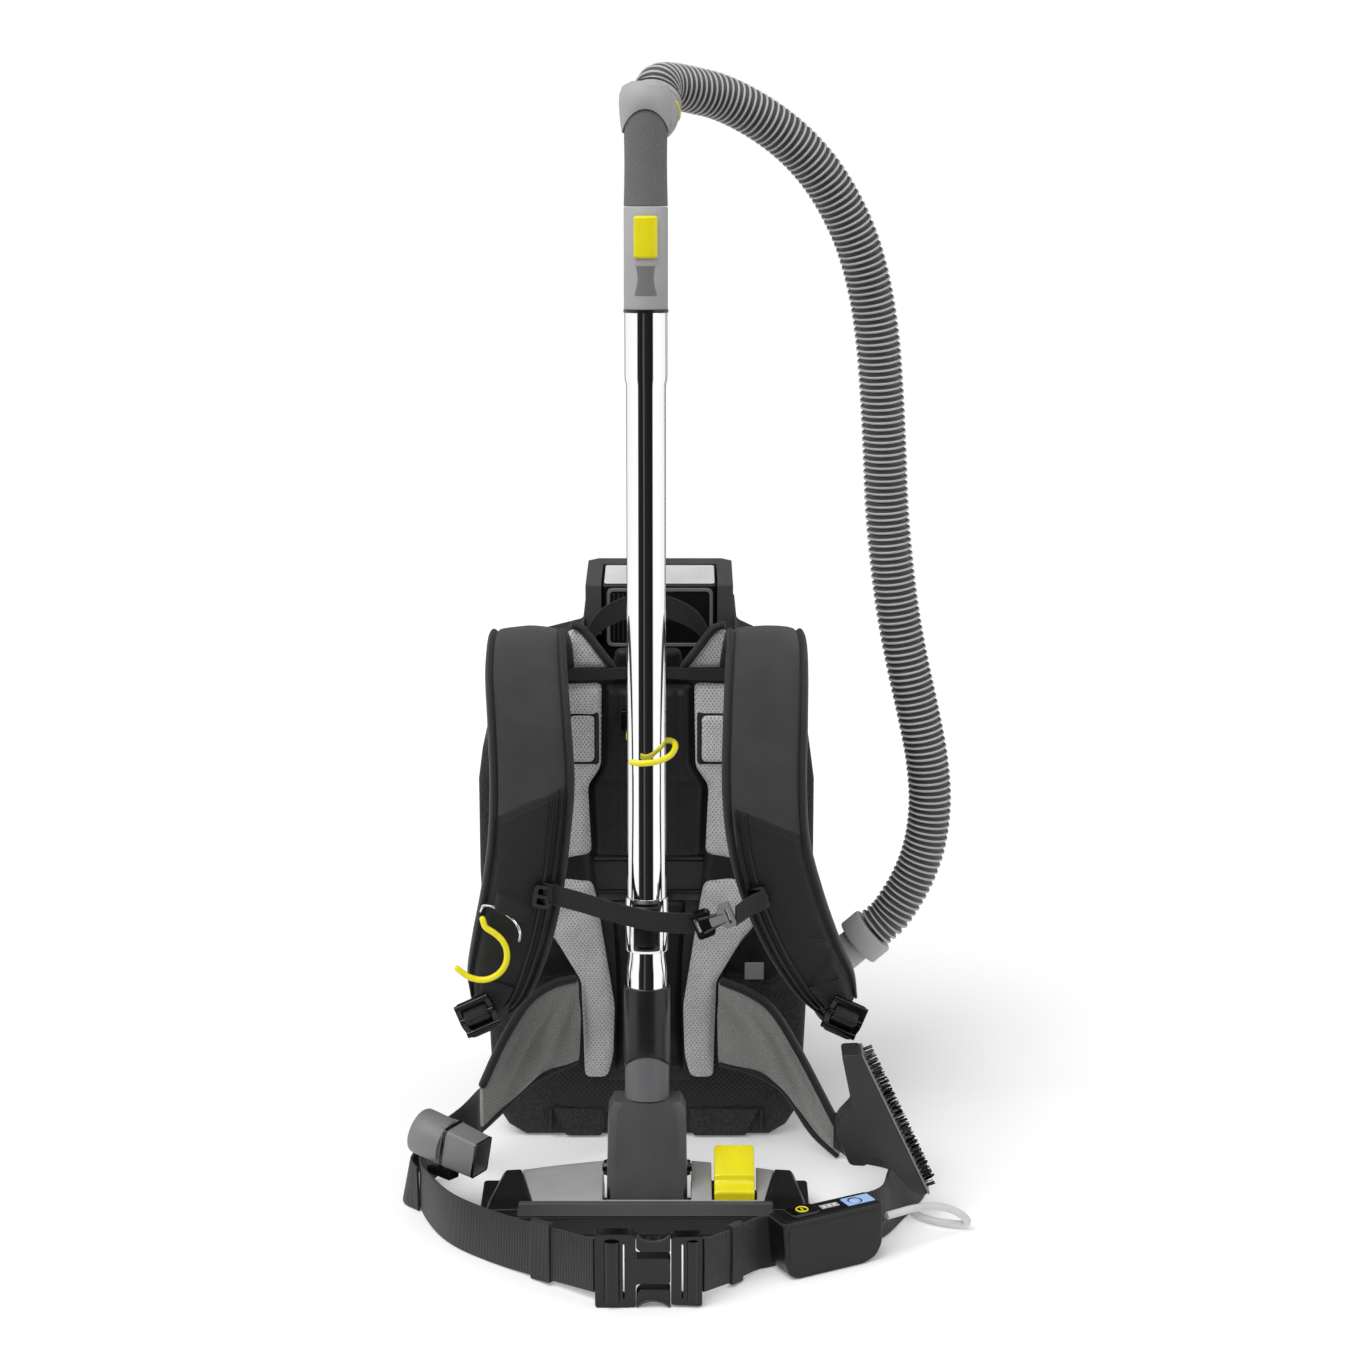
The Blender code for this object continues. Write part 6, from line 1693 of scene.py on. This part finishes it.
# --- Camera, light and floor ------------------------------------------------------

# Bearing round the room, from 0 to 1, and the brightness that mirrors see there
MIRROR_BANDS = [(0.0, 0.12), (0.035, 0.05), (0.08, 0.1), (0.095, 1.1), (0.362, 1.3), (0.374, 0.03),
                (0.445, 0.01), (0.462, 0.13), (0.485, 0.02), (0.602, 0.01), (0.618, 1.3), (0.905, 1.1),
                (0.92, 0.08), (0.965, 0.05), (1.0, 0.12)]


def camera():
    data = bpy.data.cameras.new("camera")
    data.sensor_width = 36.0
    data.lens = 86.1
    data.clip_end = 100.0
    obj = bpy.data.objects.new("camera", data)
    obj.location = (0.0345, -3.0395, 1.2441)
    obj.rotation_euler = (math.radians(75.0), 0.0, 0.0)
    bpy.context.scene.collection.objects.link(obj)
    bpy.context.scene.camera = obj


def studio():
    """A white room: plain light on rough surfaces, tall light and dark panels in mirrors."""
    world = bpy.data.worlds.new("studio")
    bpy.context.scene.world = world
    world.use_nodes = True
    nodes, link = world.node_tree.nodes, world.node_tree.links.new
    nodes.clear()

    def add(kind):
        return nodes.new("ShaderNode" + kind)

    split, flip, bearing, spread = add("SeparateXYZ"), add("Math"), add("Math"), add("MapRange")
    link(add("TexCoord").outputs["Generated"], split.inputs[0])
    flip.operation, bearing.operation = "MULTIPLY", "ARCTAN2"
    flip.inputs[1].default_value = -1.0
    link(split.outputs["Y"], flip.inputs[0])
    link(split.outputs["X"], bearing.inputs[0])
    link(flip.outputs[0], bearing.inputs[1])
    spread.inputs["From Min"].default_value = -math.pi
    spread.inputs["From Max"].default_value = math.pi
    link(bearing.outputs[0], spread.inputs["Value"])
    bands = add("ValToRGB")
    stops = bands.color_ramp.elements
    stops.remove(stops[0])
    for k, (place, value) in enumerate(MIRROR_BANDS):
        stop = stops.new(place) if k else stops[0]
        stop.position = place
        stop.color = (value, value, value, 1.0)
    link(spread.outputs[0], bands.inputs[0])
    soft, mirror, backdrop = (add("Background") for _ in range(3))
    soft.inputs["Color"].default_value = backdrop.inputs["Color"].default_value = (1.0, 1.0, 1.0, 1.0)
    soft.inputs["Strength"].default_value = 0.42
    link(bands.outputs["Color"], mirror.inputs["Color"])
    rays, inner, outer = add("LightPath"), add("MixShader"), add("MixShader")
    for mixer, ray, first, second in ((inner, "Is Glossy Ray", soft, mirror),
                                      (outer, "Is Camera Ray", inner, backdrop)):
        link(rays.outputs[ray], mixer.inputs[0])
        link(first.outputs[0], mixer.inputs[1])
        link(second.outputs[0], mixer.inputs[2])
    link(outer.outputs[0], add("OutputWorld").inputs[0])


def sun(height, bearing, angle, strength):
    """A wide sun: its height and its bearing from -Y towards +X in degrees."""
    data = bpy.data.lights.new("sun", "SUN")
    data.angle = math.radians(angle)
    data.energy = strength
    obj = bpy.data.objects.new("sun", data)
    obj.rotation_euler = (math.radians(90.0 - height), 0.0, math.radians(bearing))
    bpy.context.scene.collection.objects.link(obj)


def lamp(name, place, aim, size, power):
    data = bpy.data.lights.new(name, "AREA")
    data.shape = "RECTANGLE"
    data.size, data.size_y = size
    data.energy = power
    obj = bpy.data.objects.new(name, data)
    obj.location = place
    obj.rotation_euler = (Vector(aim) - Vector(place)).to_track_quat("-Z", "Y").to_euler()
    bpy.context.scene.collection.objects.link(obj)


def floor():
    bm = bmesh.new()
    bmesh.ops.create_circle(bm, cap_ends=True, segments=96, radius=1.5)
    mesh = bpy.data.meshes.new("floor")
    bm.to_mesh(mesh)
    bm.free()
    obj = bpy.data.objects.new("floor", mesh)
    obj.location = (0.0, 0.6, 0.0)
    bpy.context.scene.collection.objects.link(obj)
    surface = Surface("floor", "#f8f8f8", 0.9, Specular_IOR_Level=0.0, Emission_Strength=0.16)
    surface.shader.inputs["Emission Color"].default_value = (1.0, 1.0, 1.0, 1.0)
    mesh.materials.append(surface.material)


# --- The whole object -------------------------------------------------------------

def build():
    hose()
    control_cable()
    hose_ends()
    casing()
    strap_anchors()
    rear_lid()
    filter_bag()
    battery_details()
    bands = {side: shoulder_strap(side) for side in STRAPS}
    strap_fittings(bands)
    ladder_lock("left", (-0.152, -0.2405, 0.18), -25.0)
    ladder_lock("right", (0.181, -0.2405, 0.178), 25.0)
    back_pads()
    centre_pad()
    harness_top()
    carry_handle()
    chest_strap()
    for side in FINS:
        hip_fin(side)
    belts()
    waist_buckle()
    wand()
    handle()
    elbow()
    nozzle_yoke()
    nozzle_head()
    nozzle_pedal()
    control_box()
    hooks()
    crevice_tool()
    upholstery_tool()


build()
camera()
studio()
sun(55.0, -38.0, 50.0, 2.0)
lamp("fill", (2.2, -1.6, 1.6), (0.0, -0.1, 0.5), (1.2, 2.0), 5.0)
lamp("top", (0.2, 0.3, 3.0), (0.0, 0.0, 0.3), (2.0, 2.0), 8.0)
floor()
bpy.context.scene.view_settings.view_transform = "Standard"
